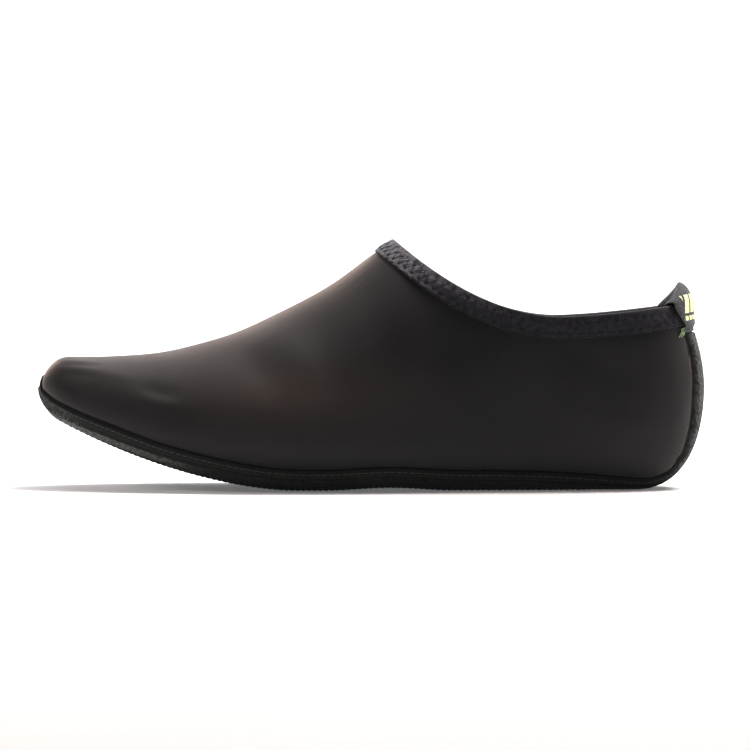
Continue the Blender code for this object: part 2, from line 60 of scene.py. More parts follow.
BODY = "root"
TINY = 1e-9
MM = 0.001
SHARP_ANGLE = np.radians(50)
LOG = logging.getLogger("water_shoe")


class Side(Enum):
    """The two sides of the foot, with the sign of Y that each lies at."""

    OUTER = -1
    INNER = 1


def srgb(red: float, green: float, blue: float) -> Colour:
    """Linear colour of an sRGB one: ((c + 0.055) / 1.055)^2.4, and c / 12.92 near black.

    Args:
        red: Red in steps of 0 to 255.
        green: Green.
        blue: Blue.

    Returns:
        The linear colour, from 0 to 1.
    """
    steps = np.array([red, green, blue]) / 255
    linear = np.where(steps <= 0.04045, steps / 12.92, ((steps + 0.055) / 1.055) ** 2.4)
    return tuple(float(value) for value in linear)


def closing(share: Array, power: float) -> Array:
    """Rises from 0 to 1 with a round start: (1 - (1 - share)^2)^power."""
    return (1 - (1 - np.clip(share, 0, 1)) ** 2) ** power


def smooth(value: Array, low: float, high: float) -> Array:
    """Soft step from 0 at low to 1 at high: 3 t^2 - 2 t^3."""
    share = np.clip((value - low) / (high - low), 0, 1)
    return share * share * (3 - 2 * share)


def hump(value: Array, middle: float, width: float) -> Array:
    """Bell of height 1 around a middle: e^-((value - middle) / width)^2."""
    return np.exp(-((value - middle) / width) ** 2)


def walked(line: Array) -> Array:
    """Distance walked to each point of a line."""
    return np.concatenate(([0.0], np.cumsum(np.linalg.norm(np.diff(line, axis=0), axis=1))))


def at_distances(line: Array, distances: Array) -> Array:
    """Points of a line at distances from its start."""
    travelled = walked(line)
    return np.stack([np.interp(distances, travelled, values) for values in line.T], axis=-1)


def at_shares(line: Array, shares: Array) -> Array:
    """Points of a line at shares of its length."""
    return at_distances(line, shares * walked(line)[-1])


def eased(count: int) -> Array:
    """Numbers from 0 to 1, dense at both ends: u^3 / (u^3 + (1 - u)^3)."""
    even = np.linspace(0, 1, count)
    return even ** 3 / (even ** 3 + (1 - even) ** 3)


def grid_faces(index: Array) -> Array:
    """Four-cornered faces of a grid of point numbers; at a pole two corners are one point."""
    corners = (index[:-1, :-1], index[:-1, 1:], index[1:, 1:], index[1:, :-1])
    return np.stack([corner.ravel() for corner in corners], axis=-1)


def nearest(points: Array, line: Array) -> Array:
    """Distance from each point to a line: to the two stretches beside its nearest corner.

    Args:
        points: Points by 3.
        line: Corners by 3.

    Returns:
        The distances.
    """
    squares = (line ** 2).sum(axis=1) - 2 * points @ line.T
    corner = squares.argmin(axis=1)
    found = []
    for first in (corner - 1, corner):
        start = line[np.clip(first, 0, len(line) - 2)]
        way = line[np.clip(first, 0, len(line) - 2) + 1] - start
        share = ((points - start) * way).sum(axis=1) / np.maximum((way ** 2).sum(axis=1), TINY ** 2)
        closest = start + way * np.clip(share, 0, 1)[:, None]
        found.append(np.linalg.norm(points - closest, axis=1))
    return np.minimum(*found)


@dataclass(frozen=True)
class Section:
    """One section of the last, in shares of the last's named sizes, at a share of its length from the toe."""

    along: float
    ridge: float
    lateral: float
    medial: float
    centre: float
    lean: float
    rim: float
    crown: float


SECTIONS = (
    Section(0.00, 0.537, 0.360, 0.360, 1.00, 0.00, 0.80, 2.30),
    Section(0.06, 0.536, 0.372, 0.372, 0.86, 0.10, 0.88, 2.30),
    Section(0.12, 0.538, 0.393, 0.391, 0.70, 0.30, 1.02, 2.28),
    Section(0.18, 0.553, 0.428, 0.421, 0.53, 0.60, 1.04, 2.24),
    Section(0.24, 0.588, 0.467, 0.4535, 0.36, 0.85, 1.08, 2.18),
    Section(0.30, 0.640, 0.502, 0.472, 0.21, 1.00, 1.08, 2.12),
    Section(0.36, 0.713, 0.516, 0.467, 0.08, 1.00, 1.05, 2.06),
    Section(0.44, 0.832, 0.500, 0.434, -0.05, 0.85, 1.01, 2.00),
    Section(0.53, 1.000, 0.465, 0.393, -0.12, 0.67, 0.99, 1.95),
    Section(0.60, 1.085, 0.430, 0.370, -0.12, 0.50, 0.99, 1.93),
    Section(0.68, 1.170, 0.399, 0.359, -0.09, 0.35, 0.96, 1.92),
    Section(0.76, 1.245, 0.377, 0.353, -0.05, 0.20, 0.88, 1.91),
    Section(0.86, 1.310, 0.363, 0.349, 0.00, 0.08, 0.62, 1.90),
    Section(0.93, 1.335, 0.361, 0.349, 0.00, 0.03, 0.39, 1.90),
    Section(1.00, 1.350, 0.360, 0.349, 0.00, 0.00, 0.25, 1.90),
)


@dataclass(frozen=True)
class Last:
    """The foot form that the shoe is made over, as the outside of the upper.

    A point of the side view is (x from the toe, height). Its half width to either side is a product: the
    section's own width, a round closing at the toe, a superellipse towards the heel, and a crown above the
    widest height or a flatter curve below it. Starts and ends are shares of the length.
    """

    length: float = 0.2482
    ball_width: float = 0.086
    throat_height: float = 0.0915
    toe_tip_height: float = 0.0377
    belly_height: float = 0.021
    heel_bulge_height: float = 0.0385
    heel_lean: float = 0.0075
    toe_spring: float = 0.0294
    arch_rise: float = 0.0012
    toe_swing: float = 0.010
    ridge_lean: float = 0.006
    rim_height: float = 0.0072
    floor_clearance: float = 0.0005
    collar_low_height: float = 0.0636
    collar_heel_height: float = 0.0683
    throat_along: float = 0.5346
    collar_low_along: float = 0.784
    feather_end: float = 0.974
    heel_round_start: float = 0.80
    heel_curve_start: float = 0.88
    toe_top_end: float = 0.045
    tip_close: float = 0.03
    toe_round_end: float = 0.20
    toe_spring_end: float = 0.40
    belly_start: float = 0.30
    bulge_start: float = 0.72
    arch_start: float = 0.42
    arch_end: float = 0.64
    side_round: float = 2.3
    bottom_round: float = 4.0
    crown_slack: float = 0.15

    def column(self, name: str, along: Array) -> Array:
        """Reads one column of SECTIONS by a natural cubic spline.

        Args:
            name: The column's name.
            along: Shares of the last's length.

        Returns:
            The column's values there.
        """
        knots = np.array([section.along for section in SECTIONS])
        values = np.array([getattr(section, name) for section in SECTIONS])
        spans = np.diff(knots)
        inner = np.diag(2 * (spans[:-1] + spans[1:])) + np.diag(spans[1:-1], 1) + np.diag(spans[1:-1], -1)
        rates = np.diff(np.diff(values) / spans)
        bends = np.concatenate(([0.0], np.linalg.solve(inner, 6 * rates), [0.0]))
        place = np.clip(along, 0, 1)
        left = np.clip(np.searchsorted(knots, place) - 1, 0, len(spans) - 1)
        before = (place - knots[left]) / spans[left]
        after = 1 - before
        curve = (after ** 3 - after) * bends[left] + (before ** 3 - before) * bends[left + 1]
        return after * values[left] + before * values[left + 1] + curve * spans[left] ** 2 / 6

    def ridge(self, along: Array) -> Array:
        """Height of the ridge: the spline's height, reached from the toe tip in a short round curve."""
        top = self.column("ridge", along) * self.throat_height
        return self.toe_tip_height + (top - self.toe_tip_height) * closing(along / self.toe_top_end, 0.65)

    def widest(self, along: Array) -> Array:
        """Height at which a section is widest: it climbs to the toe tip and to the heel's bulge by powers.

        Args:
            along: Shares of the length.

        Returns:
            Heights above the floor.
        """
        toe = np.clip(1 - along / self.belly_start, 0, 1) ** 1.5
        heel = np.clip((along - self.bulge_start) / (1 - self.bulge_start), 0, 1) ** 2.2
        rise = (self.toe_tip_height - self.belly_height) * toe
        return self.belly_height + rise + (self.heel_bulge_height - self.belly_height) * heel

    def floor_line(self, along: Array) -> Array:
        """Lowest height of a section: toe spring, flat ball, slight arch, flat heel, curve up to the bulge.

        Args:
            along: Shares of the length.

        Returns:
            Heights above the floor.
        """
        spring = self.toe_spring * np.clip(1 - along / self.toe_spring_end, 0, 1) ** 1.8
        share = np.clip((along - self.arch_start) / (self.arch_end - self.arch_start), 0, 1)
        arch = self.arch_rise * np.sin(np.pi * share) ** 2
        line = self.floor_clearance + spring + arch
        tip = closing(along / self.tip_close, 0.5)
        line = self.toe_tip_height + (line - self.toe_tip_height) * tip
        turn = np.clip((along - self.heel_curve_start) / (1 - self.heel_curve_start), 0, 1)
        return line + (self.heel_bulge_height - self.floor_clearance) * (1 - np.sqrt(1 - turn ** 3))

    def back(self, height: Array) -> Array:
        """Place of the back line at a height: the heel curve, and above the bulge a lean to the front.

        Args:
            height: Heights above the floor.

        Returns:
            Shares of the length.
        """
        base = self.floor_clearance
        rise = np.clip((height - base) / (self.heel_bulge_height - base), 0, 1)
        start = self.heel_curve_start
        curve = start + (1 - start) * (1 - (1 - rise) ** 2) ** (1 / 3)
        top = self.collar_heel_height - self.heel_bulge_height
        above = np.clip((height - self.heel_bulge_height) / top, 0, None)
        return curve - self.heel_lean / self.length * above ** 1.75

    def feather(self, along: Array) -> Array:
        """Height where the sole's rim meets the upper: the floor line and the rim, closed at both ends."""
        heel = closing((self.feather_end - along) / self.tip_close, 0.5)
        ends = closing(along / self.tip_close, 0.5) * heel
        return self.floor_line(along) + self.rim_height * self.column("rim", along) * ends

    def collar(self, along: Array) -> Array:
        """Height of the knit's edge: two power curves up from the low point, to the throat and to the heel.

        Args:
            along: Shares of the length.

        Returns:
            Heights above the floor.
        """
        low = self.collar_low_along
        front_rise = self.ridge(np.array(self.throat_along)) - self.collar_low_height
        back_rise = self.collar_heel_height - self.collar_low_height
        forward = np.clip((low - along) / (low - self.throat_along), 0, 1)
        backward = np.clip((along - low) / (self.back(self.collar_heel_height) - low), 0, 1)
        return self.collar_low_height + front_rise * forward ** 1.92 + back_rise * backward ** 1.6

    def lift(self, along: Array, height: Array) -> Array:
        """Share of the way from the widest height up to the ridge, from 0 to 1."""
        middle = self.widest(along)
        return np.clip((height - middle) / np.maximum(self.ridge(along) - middle, TINY), 0, 1)

    def half_width(self, side: Side, along: Array, height: Array) -> Array:
        """Half width on one side at places of the side view, by the product that the class describes.

        Args:
            side: Which side of the foot.
            along: Shares of the length.
            height: Heights above the floor.

        Returns:
            Distances from the section's centre line.
        """
        name = "lateral" if side is Side.OUTER else "medial"
        width = self.ball_width * self.column(name, along) * closing(along / self.toe_round_end, 0.5)
        back = np.where(height > self.heel_bulge_height, self.back(height), 1.0)
        turn = np.clip((along - self.heel_round_start) / (back - self.heel_round_start), 0, 1)
        heel = (1 - turn ** self.side_round) ** (1 / self.side_round)
        middle = self.widest(along)
        crown = self.column("crown", along)
        above = (1 - self.lift(along, height) ** (crown - self.crown_slack)) ** (1 / crown)
        down = np.clip((middle - height) / np.maximum(middle - self.floor_line(along), TINY), 0, 1)
        below = (1 - down ** self.side_round) ** (1 / self.bottom_round)
        return width * heel * np.where(height > middle, above, below)

    def centre(self, along: Array, height: Array) -> Array:
        """Sideways place of a section's middle: the last's swing, and the lean times the lift squared."""
        swing = self.toe_swing * self.column("centre", along)
        return swing + self.ridge_lean * self.column("lean", along) * self.lift(along, height) ** 2

    def bottom(self, x: Array, y: Array) -> Array:
        """Height of the underside over the floor plan.

        It is the widest height less the depth times (1 - r^4)^(1/2.3), with r the share of the half width.

        Args:
            x: Distances from the toe.
            y: Sideways places.

        Returns:
            Heights above the floor.
        """
        along = x / self.length
        middle = self.widest(along)
        off = y - self.centre(along, middle)
        outer = self.half_width(Side.OUTER, along, middle)
        inner = self.half_width(Side.INNER, along, middle)
        share = np.clip(np.abs(off) / np.maximum(np.where(off < 0, outer, inner), TINY), 0, 1)
        depth = middle - self.floor_line(along)
        return middle - depth * (1 - share ** self.bottom_round) ** (1 / self.side_round)


@dataclass(frozen=True)
class TailWidth:
    """Half width of the strip up the heel, at a height above the floor."""

    height: float
    half_width: float


TAIL_WIDTHS = (
    TailWidth(0.010, 0.01935),
    TailWidth(0.016, 0.01575),
    TailWidth(0.038, 0.01500),
    TailWidth(0.069, 0.01215),
)


class Band:
    """Lines laid side by side across a seam or an edge.

    A place on it is (line, distance along the line, distance out).
    """

    def __init__(self, points: Array, normals: Array) -> None:
        """Keeps the lines and the distance walked along each.

        Args:
            points: Lines by steps by 3.
            normals: Their normals, in the same order.
        """
        self.points = points
        self.normals = normals
        steps = np.linalg.norm(np.diff(points, axis=1), axis=2)
        self.travelled = np.concatenate((np.zeros((len(points), 1)), np.cumsum(steps, axis=1)), axis=1)
        edge = np.linalg.norm(np.diff(points[:, 0], axis=0), axis=1)
        self.edge = np.concatenate(([0.0], np.cumsum(edge)))

    def lines_at(self, distances: Array) -> Array:
        """Line numbers, with fractions, at distances along the edge where the lines start."""
        return np.interp(distances, self.edge, np.arange(len(self.edge)))

    def place(self, line: Array, distance: Array, out: Array) -> tuple[Array, Array]:
        """Finds places: between two lines, walked along them and moved out by the normal.

        A distance under 0 goes on straight past the edge.

        Args:
            line: Line numbers, with fractions.
            distance: Distances along the lines.
            out: Distances out along the normal.

        Returns:
            The points and their normals.
        """
        line, distance, out = (np.ravel(values) for values in np.broadcast_arrays(line, distance, out))
        low = np.clip(np.floor(line).astype(int), 0, len(self.points) - 2)
        share = (line - low)[:, None]
        rows = np.arange(len(low))
        found = []
        for index in (low, low + 1):
            travelled = self.travelled[index]
            step = np.clip((travelled <= distance[:, None]).sum(axis=1) - 1, 0, travelled.shape[1] - 2)
            start = travelled[rows, step]
            part = ((distance - start) / np.maximum(travelled[rows, step + 1] - start, TINY))[:, None]
            points = self.points[index, step] * (1 - part) + self.points[index, step + 1] * part
            bounded = np.clip(part, 0, 1)
            normals = self.normals[index, step] * (1 - bounded) + self.normals[index, step + 1] * bounded
            found.append((points, normals))
        points = found[0][0] * (1 - share) + found[1][0] * share
        normals = found[0][1] * (1 - share) + found[1][1] * share
        normals /= np.linalg.norm(normals, axis=1)[:, None]
        return points + normals * out[:, None], normals


class Skin:
    """The last's surface as one welded grid with its normals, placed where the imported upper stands.

    Above the feather line it is made of closed rings, and below it of sections from the outer to the inner
    side.
    """

    SIDE = 210
    TAIL = 14
    ROWS = 92
    TOP_ROWS = 14
    FLOOR_SPANS = 40
    SAMPLES = 601
    TOE_LINES = 12
    TOE_ROWS = 24
    RIM_ROWS = 24
    COLLAR_ROWS = 40
    ROW_POWER = 1.25
    RIDGE_BOW = 1.04
    TOP_BAND = 11.6 * MM
    TOE_PEAK = 4.8 * MM
    TOE_PEAK_HALF = 7.5 * MM
    EDGE_STEPS = np.array([0.0, 0.2, 0.5, 0.9, 1.5, 2.2, 3.0, 3.7, 4.1, 4.3, 4.5, 4.7, 5.0, 5.6]) * MM

    def __init__(self, last: Last) -> None:
        """Works out the rings, the sections, their shared numbering and the normals.

        Args:
            last: The form to follow.
        """
        self.last = last
        rings = self._rings()
        sections = self._sections(rings[0])
        rows, around = rings.shape[:2]
        self.half = around // 2
        self.points = np.concatenate((rings.reshape(-1, 3), sections[:, 1:-1].reshape(-1, 3)))
        self.ring_index = np.arange(rows * around).reshape(rows, around)
        inner = np.arange(sections.shape[0] * (sections.shape[1] - 2)) + rows * around
        self.sole_index = np.zeros((self.half + 1, sections.shape[1]), dtype=int)
        self.sole_index[0] = self.ring_index[0, 0]
        self.sole_index[-1] = self.ring_index[0, self.half]
        self.sole_index[1:-1, 0] = self.ring_index[0, 1:self.half]
        self.sole_index[1:-1, -1] = self.ring_index[0, :self.half:-1]
        self.sole_index[1:-1, 1:-1] = inner.reshape(sections.shape[0], -1)
        faces = np.concatenate((self.ring_faces(range(around)), grid_faces(self.sole_index)))
        self.normals = self._normals(faces)
        self.origin = self._settle()
        self.points += self.origin

    def _side_patch(self, across: Array, up: Array) -> Array:
        """Points of the side view between its four border lines, blended from all of them (a Coons patch).

        Args:
            across: Shares from the ridge (0) to the heel (1).
            up: Shares from the feather line (0) to the collar (1).

        Returns:
            Pairs of distance from the toe and height.
        """
        last = self.last
        back_end = last.back(last.collar_heel_height)
        feather_along = last.feather_end * eased(self.SAMPLES)
        even = np.linspace(0, 1, self.SAMPLES)
        collar_along = last.throat_along + (back_end - last.throat_along) * even
        ridge_along = last.throat_along * even ** 2
        foot = last.feather(feather_along)[-1]
        heel_height = foot + (last.collar_heel_height - foot) * even
        feather = np.stack([feather_along * last.length, last.feather(feather_along)], axis=-1)
        collar = np.stack([collar_along * last.length, last.collar(collar_along)], axis=-1)
        ridge = np.stack([ridge_along * last.length, last.ridge(ridge_along)], axis=-1)
        heel = np.stack([last.back(heel_height) * last.length, heel_height], axis=-1)
        s = across[:, None]
        t = up[:, None]
        corners = (1 - s) * (1 - t) * feather[0] + s * (1 - t) * feather[-1]
        corners = corners + (1 - s) * t * collar[0] + s * t * collar[-1]
        rows = (1 - t) * at_shares(feather, across) + t * at_shares(collar, across)
        return rows + (1 - s) * at_shares(ridge, up) + s * at_shares(heel, up) - corners

    def _rings(self) -> Array:
        """All rings, from the feather line to the collar.

        A ring is the side view's row carried to both sides by the half width, read again at even distances
        up to the heel strip and at even distances across the strip.

        Returns:
            Rings by points by 3.
        """
        last = self.last
        across = eased(self.SAMPLES)
        ends = self._side_patch(np.array([0.0, 0.0, 1.0, 1.0]), np.array([0.0, 1.0, 0.0, 1.0]))
        ridge_run = self.RIDGE_BOW * np.abs(ends[1] - ends[0]).sum() / self.ROW_POWER
        heel_run = np.linalg.norm(ends[3] - ends[2])
        below = 1 - self.TOP_BAND / ((1 - across) * ridge_run + across * heel_run)
        levels = [share ** self.ROW_POWER * below for share in np.linspace(0, 1, self.ROWS)]
        levels += [below + (1 - below) * share for share in np.linspace(0, 1, self.TOP_ROWS + 1)[1:]]
        heights = [row.height for row in TAIL_WIDTHS]
        halves = [row.half_width for row in TAIL_WIDTHS]
        rings = []
        for level in levels:
            place = self._side_patch(across, level)
            along, height = place[:, 0] / last.length, place[:, 1]
            tail_half = np.interp(height[-1], heights, halves)
            sides = []
            for side in Side:
                width = last.half_width(side, along, height)
                width[[0, -1]] = 0
                sideways = last.centre(along, height) + side.value * width
                line = np.stack([place[:, 0], sideways, height], axis=-1)
                total = walked(line)[-1]
                front = np.linspace(0, total - tail_half, self.SIDE + 1)
                tail = np.linspace(total - tail_half, total, self.TAIL + 1)[1:]
                sides.append(at_distances(line, np.concatenate((front, tail))))
            rings.append(np.concatenate((sides[0], sides[1][-2:0:-1])))
        return np.array(rings)

    def _sections(self, feather_ring: Array) -> Array:
        """Sections under the feather line: straight across in plan, with the height of the last's bottom.

        Args:
            feather_ring: The lowest ring.

        Returns:
            Sections by points by 3; near both ends the points are as dense as the seam needs.
        """
        even = np.linspace(0, 1, self.SAMPLES)[:, None]
        sections = []
        for column in range(1, self.SIDE + self.TAIL):
            plan = feather_ring[column] + (feather_ring[-column] - feather_ring[column]) * even
            plan[1:-1, 2] = self.last.bottom(plan[1:-1, 0], plan[1:-1, 1])
            total = walked(plan)[-1]
            edge = self.EDGE_STEPS * min(1.0, total / (4 * self.EDGE_STEPS[-1]))
            floor = np.linspace(edge[-1], total - edge[-1], self.FLOOR_SPANS + 1)
            sections.append(at_distances(plan, np.concatenate((edge[:-1], floor, total - edge[-2::-1]))))
        return np.array(sections)

    def _normals(self, faces: Array) -> Array:
        """Normals of the points: the sum of the cross products of the faces' diagonals, made unit long.

        Args:
            faces: Faces by 4 point numbers.

        Returns:
            Normals by 3.
        """
        corners = self.points[faces]
        facing = np.cross(corners[:, 2] - corners[:, 0], corners[:, 3] - corners[:, 1])
        normals = np.zeros_like(self.points)
        for corner in range(4):
            np.add.at(normals, faces[:, corner], facing)
        return normals / np.maximum(np.linalg.norm(normals, axis=1), TINY)[:, None]

    def _settle(self) -> Array:
        """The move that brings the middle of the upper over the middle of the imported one, along X and Y.

        Returns:
            The move by 3.
        """
        low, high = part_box("upper")
        own = self.points[self.ring_index[:, np.arange(-self.SIDE, self.SIDE + 1)]].reshape(-1, 3)
        middle = (own.min(axis=0) + own.max(axis=0)) / 2
        return np.array([(low.x + high.x) / 2 - middle[0], (low.y + high.y) / 2 - middle[1], 0.0])

    def ring_faces(self, columns: Sequence[int]) -> Array:
        """Faces between the rings, for the given columns."""
        closed = np.concatenate((self.ring_index, self.ring_index[:, :1]), axis=1)
        return np.concatenate([grid_faces(closed[:, column:column + 2]) for column in columns])

    def cloth_map(self) -> Array:
        """Flat map in metres: distance from the ridge around the ring, and up the column.

        Returns:
            Pairs by point.
        """
        rings = self.points[self.ring_index]
        around = np.linalg.norm(np.roll(rings, -1, axis=1) - rings, axis=2)
        outer = np.cumsum(around[:, :self.half], axis=1)
        inner = np.cumsum(around[:, :self.half - 1:-1], axis=1)[:, ::-1]
        first = np.zeros((len(rings), 1))
        u = np.concatenate((first, -outer, inner[:, 1:]), axis=1)
        up = np.cumsum(np.linalg.norm(np.diff(rings, axis=0), axis=2), axis=0)
        v = np.concatenate((np.zeros((1, rings.shape[1])), up))
        flat = np.zeros((len(self.points), 2))
        flat[self.ring_index] = np.stack([u, v], axis=-1)
        dish = self.sole_index[1:-1, 1:-1]
        flat[dish] = self.points[dish][..., :2]
        return flat

    def toe_band(self) -> Band:
        """Lines up from the feather line round the toe tip, from the inner side to the outer.

        Returns:
            The band.
        """
        columns = np.arange(-self.TOE_LINES, self.TOE_LINES + 1)
        index = self.ring_index[:self.TOE_ROWS][:, columns].T
        return Band(self.points[index], self.normals[index])

    def toe_peak(self, band: Band) -> Array:
        """Height of the rim's peak over each line of the toe band: a bell of the distance from the tip."""
        away = (band.edge - band.edge[len(band.edge) // 2]) / self.TOE_PEAK_HALF
        return self.TOE_PEAK * np.clip(1 - away ** 2, 0, 1) ** 1.5

    def rim_edge(self) -> Array:
        """Line of the sole's edge: down one edge of the strip, round the rim and its peak, and up the other.

        Returns:
            Corners of the line by 3.
        """
        rise = self.points[self.ring_index[1:, [self.SIDE, -self.SIDE]]]
        feather = self.points[self.ring_index[0, np.arange(-self.SIDE, self.SIDE + 1)]]
        band = self.toe_band()
        half = len(band.edge) // 2
        lines = np.arange(len(band.edge))
        feather[self.SIDE - half:self.SIDE + half + 1] = band.place(lines, self.toe_peak(band), 0.0)[0]
        return np.concatenate((rise[::-1, 1], feather, rise[:, 0]))

    def below_collar(self) -> Array:
        """Distance of each ring point under the collar's edge, along its column."""
        steps = np.linalg.norm(np.diff(self.points[self.ring_index], axis=0), axis=2)
        return np.concatenate((np.cumsum(steps[::-1], axis=0)[::-1], np.zeros((1, steps.shape[1]))))

    def rim_band(self) -> Band:
        """Lines from the feather line down into the dish, from the strip's inner corner round the toe.

        Returns:
            The band.
        """
        inner = self.sole_index[self.SIDE:0:-1, :-self.RIM_ROWS - 1:-1]
        outer = self.sole_index[1:self.SIDE + 1, :self.RIM_ROWS]
        index = np.concatenate((inner, outer))
        return Band(self.points[index], self.normals[index])

    def collar_band(self) -> Band:
        """Lines from the collar's edge down, all the way round, with the first line again at the end.

        Returns:
            The band.
        """
        index = self.ring_index[::-1][:self.COLLAR_ROWS]
        index = np.concatenate((index, index[:, :1]), axis=1).T
        return Band(self.points[index], self.normals[index])


@dataclass
class Shape:
    """Points, faces and what they carry, on the way to a mesh.

    Attributes:
        points: Points by 3.
        faces: Faces by 4 point numbers; a corner that repeats its neighbour makes a triangle.
        flat: Flat map of the points in metres, or None.
        marks: Named values of the points, for the materials.
        slots: Material number of each face, or None.
    """

    points: Array
    faces: Array
    flat: Array | None = None
    marks: dict[str, Array] | None = None
    slots: Array | None = None

    def joined(self, other: "Shape") -> "Shape":
        """This shape and another as one.

        Args:
            other: The shape to add.

        Returns:
            Both, without marks.
        """
        flat = None if self.flat is None else np.concatenate((self.flat, other.flat))
        points = np.concatenate((self.points, other.points))
        return Shape(points, np.concatenate((self.faces, other.faces + len(self.points))), flat)

    def piece(self, name: str, materials: Sequence[bpy.types.Material], stands_for: str | None,
              slot: str) -> bpy.types.Object:
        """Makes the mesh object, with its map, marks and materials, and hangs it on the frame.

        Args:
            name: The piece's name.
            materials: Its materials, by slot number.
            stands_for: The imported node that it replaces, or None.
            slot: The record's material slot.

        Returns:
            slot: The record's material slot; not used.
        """
        used, numbers = np.unique(self.faces, return_inverse=True)
        faces = numbers.reshape(-1, 4)
        repeat = faces == np.roll(faces, 1, axis=1)
        narrow = repeat.any(axis=1)
        first = repeat[narrow].argmax(axis=1)[:, None]
        triangles = np.take_along_axis(faces[narrow], (first + np.arange(1, 4)) % 4, axis=1)
        triangles = triangles[:, [2, 0, 1]]
        mesh = bpy.data.meshes.new(name)
        mesh.from_pydata(self.points[used].tolist(), [], faces[~narrow].tolist() + triangles.tolist())
        if self.slots is not None:
            order = np.concatenate((self.slots[~narrow], self.slots[narrow]))
            mesh.polygons.foreach_set("material_index", order.astype(np.int32))
        if self.flat is not None:
            corner = np.zeros(len(mesh.loops), dtype=np.int32)
            mesh.loops.foreach_get("vertex_index", corner)
            layer = mesh.uv_layers.new(name="cloth")
            layer.data.foreach_set("uv", self.flat[used][corner].astype(np.float32).ravel())
        for mark, values in (self.marks or {}).items():
            attribute = mesh.attributes.new(mark, "FLOAT", "POINT")
            attribute.data.foreach_set("value", values[used].astype(np.float32))
        mesh.shade_smooth()
        mesh.set_sharp_from_angle(angle=SHARP_ANGLE)
        for material in materials:
            mesh.materials.append(material)
        piece = bpy.data.objects.new(name, mesh)
        bpy.context.scene.collection.objects.link(piece)
        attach(piece, BODY)
        if stands_for:
            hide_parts(stands_for)
        LOG.info("%s: %d faces", name, len(mesh.polygons))
        return piece


def walled(outer: Array, inner: Array, faces: Array, flat: Array | None, marks: dict[str, Array]) -> Shape:
    """Closed shape between two skins with the same faces, its border edges closed by a rim.

    Args:
        outer: Points of the outer skin.
        inner: Points of the inner skin.
        faces: Faces of the outer skin.
        flat: Flat map of the points.
        marks: Named values of the points.

    Returns:
        The shape, with material number 0 outside and on the rim and 1 inside.
    """
    count = len(outer)
    sides = [np.stack([faces[:, side], faces[:, (side + 1) % 4]], axis=-1) for side in range(4)]
    edges = np.concatenate(sides)
    edges = edges[edges[:, 0] != edges[:, 1]]
    lone = ~np.isin(edges[:, 0] * count + edges[:, 1], edges[:, 1] * count + edges[:, 0])
    border = edges[lone]
    rim = np.stack([border[:, 1], border[:, 0], border[:, 0] + count, border[:, 1] + count], axis=-1)
    slots = np.concatenate((np.zeros(len(faces)), np.ones(len(faces)), np.zeros(len(rim)))).astype(int)
    both = {name: np.concatenate((values, values)) for name, values in marks.items()}
    twice = None if flat is None else np.concatenate((flat, flat))
    closed = np.concatenate((faces, faces[:, ::-1] + count, rim))
    return Shape(np.concatenate((outer, inner)), closed, twice, both, slots)


def tubes(paths: Array, normals: Array, radius: float) -> Shape:
    """Threads along paths: an oval section carried along each path, with both ends closed in a point.

    Args:
        paths: Paths by steps by 3.
        normals: The surface normals along them.
        radius: Half width of a thread.

    Returns:
        All threads as one shape, mapped around and along in metres.
    """
    flatness = 0.7
    sides = 6
    end_width = 0.55
    tip_length = 0.8
    count, steps = paths.shape[:2]
    along = np.gradient(paths, axis=1)
    along /= np.maximum(np.linalg.norm(along, axis=2), TINY)[..., None]
    across = np.cross(normals, along)
    across /= np.maximum(np.linalg.norm(across, axis=2), TINY)[..., None]
    turn = np.linspace(0, 2 * np.pi, sides, endpoint=False)
    ends = np.ones(steps)
    ends[[0, -1]] = end_width
    ring = across[:, :, None] * np.cos(turn)[:, None] + normals[:, :, None] * flatness * np.sin(turn)[:, None]
    body = paths[:, :, None] + ring * radius * ends[:, None, None]
    reach = radius * tip_length * np.array([-1, 1])
    caps = paths[:, [0, -1]] + along[:, [0, -1]] * reach[:, None]
    travelled = np.cumsum(np.linalg.norm(np.diff(paths, axis=1, prepend=paths[:, :1]), axis=2), axis=1)
    around = np.broadcast_to(turn * radius, (count, steps, sides))
    flat = np.stack([around, np.broadcast_to(travelled[:, :, None], around.shape)], axis=-1)
    index = np.arange(count * steps * sides).reshape(count, steps, sides)
    closed = np.concatenate((index, index[:, :, :1]), axis=2)
    corners = (closed[:, :-1, :-1], closed[:, :-1, 1:], closed[:, 1:, 1:], closed[:, 1:, :-1])
    faces = [np.stack([corner.ravel() for corner in corners], axis=-1)]
    tips = count * steps * sides + np.arange(count * 2).reshape(count, 2)
    for end, step in ((0, 0), (1, -1)):
        ring_a, ring_b = closed[:, step, :-1], closed[:, step, 1:]
        tip = np.broadcast_to(tips[:, end:end + 1], ring_a.shape)
        pair = (ring_b, ring_a) if end == 0 else (ring_a, ring_b)
        faces.append(np.stack([pair[0].ravel(), pair[1].ravel(), tip.ravel(), tip.ravel()], axis=-1))
    points = np.concatenate((body.reshape(-1, 3), caps.reshape(-1, 3)))
    cap_flat = np.zeros((count * 2, 2))
    return Shape(points, np.concatenate(faces), np.concatenate((flat.reshape(-1, 2), cap_flat)))


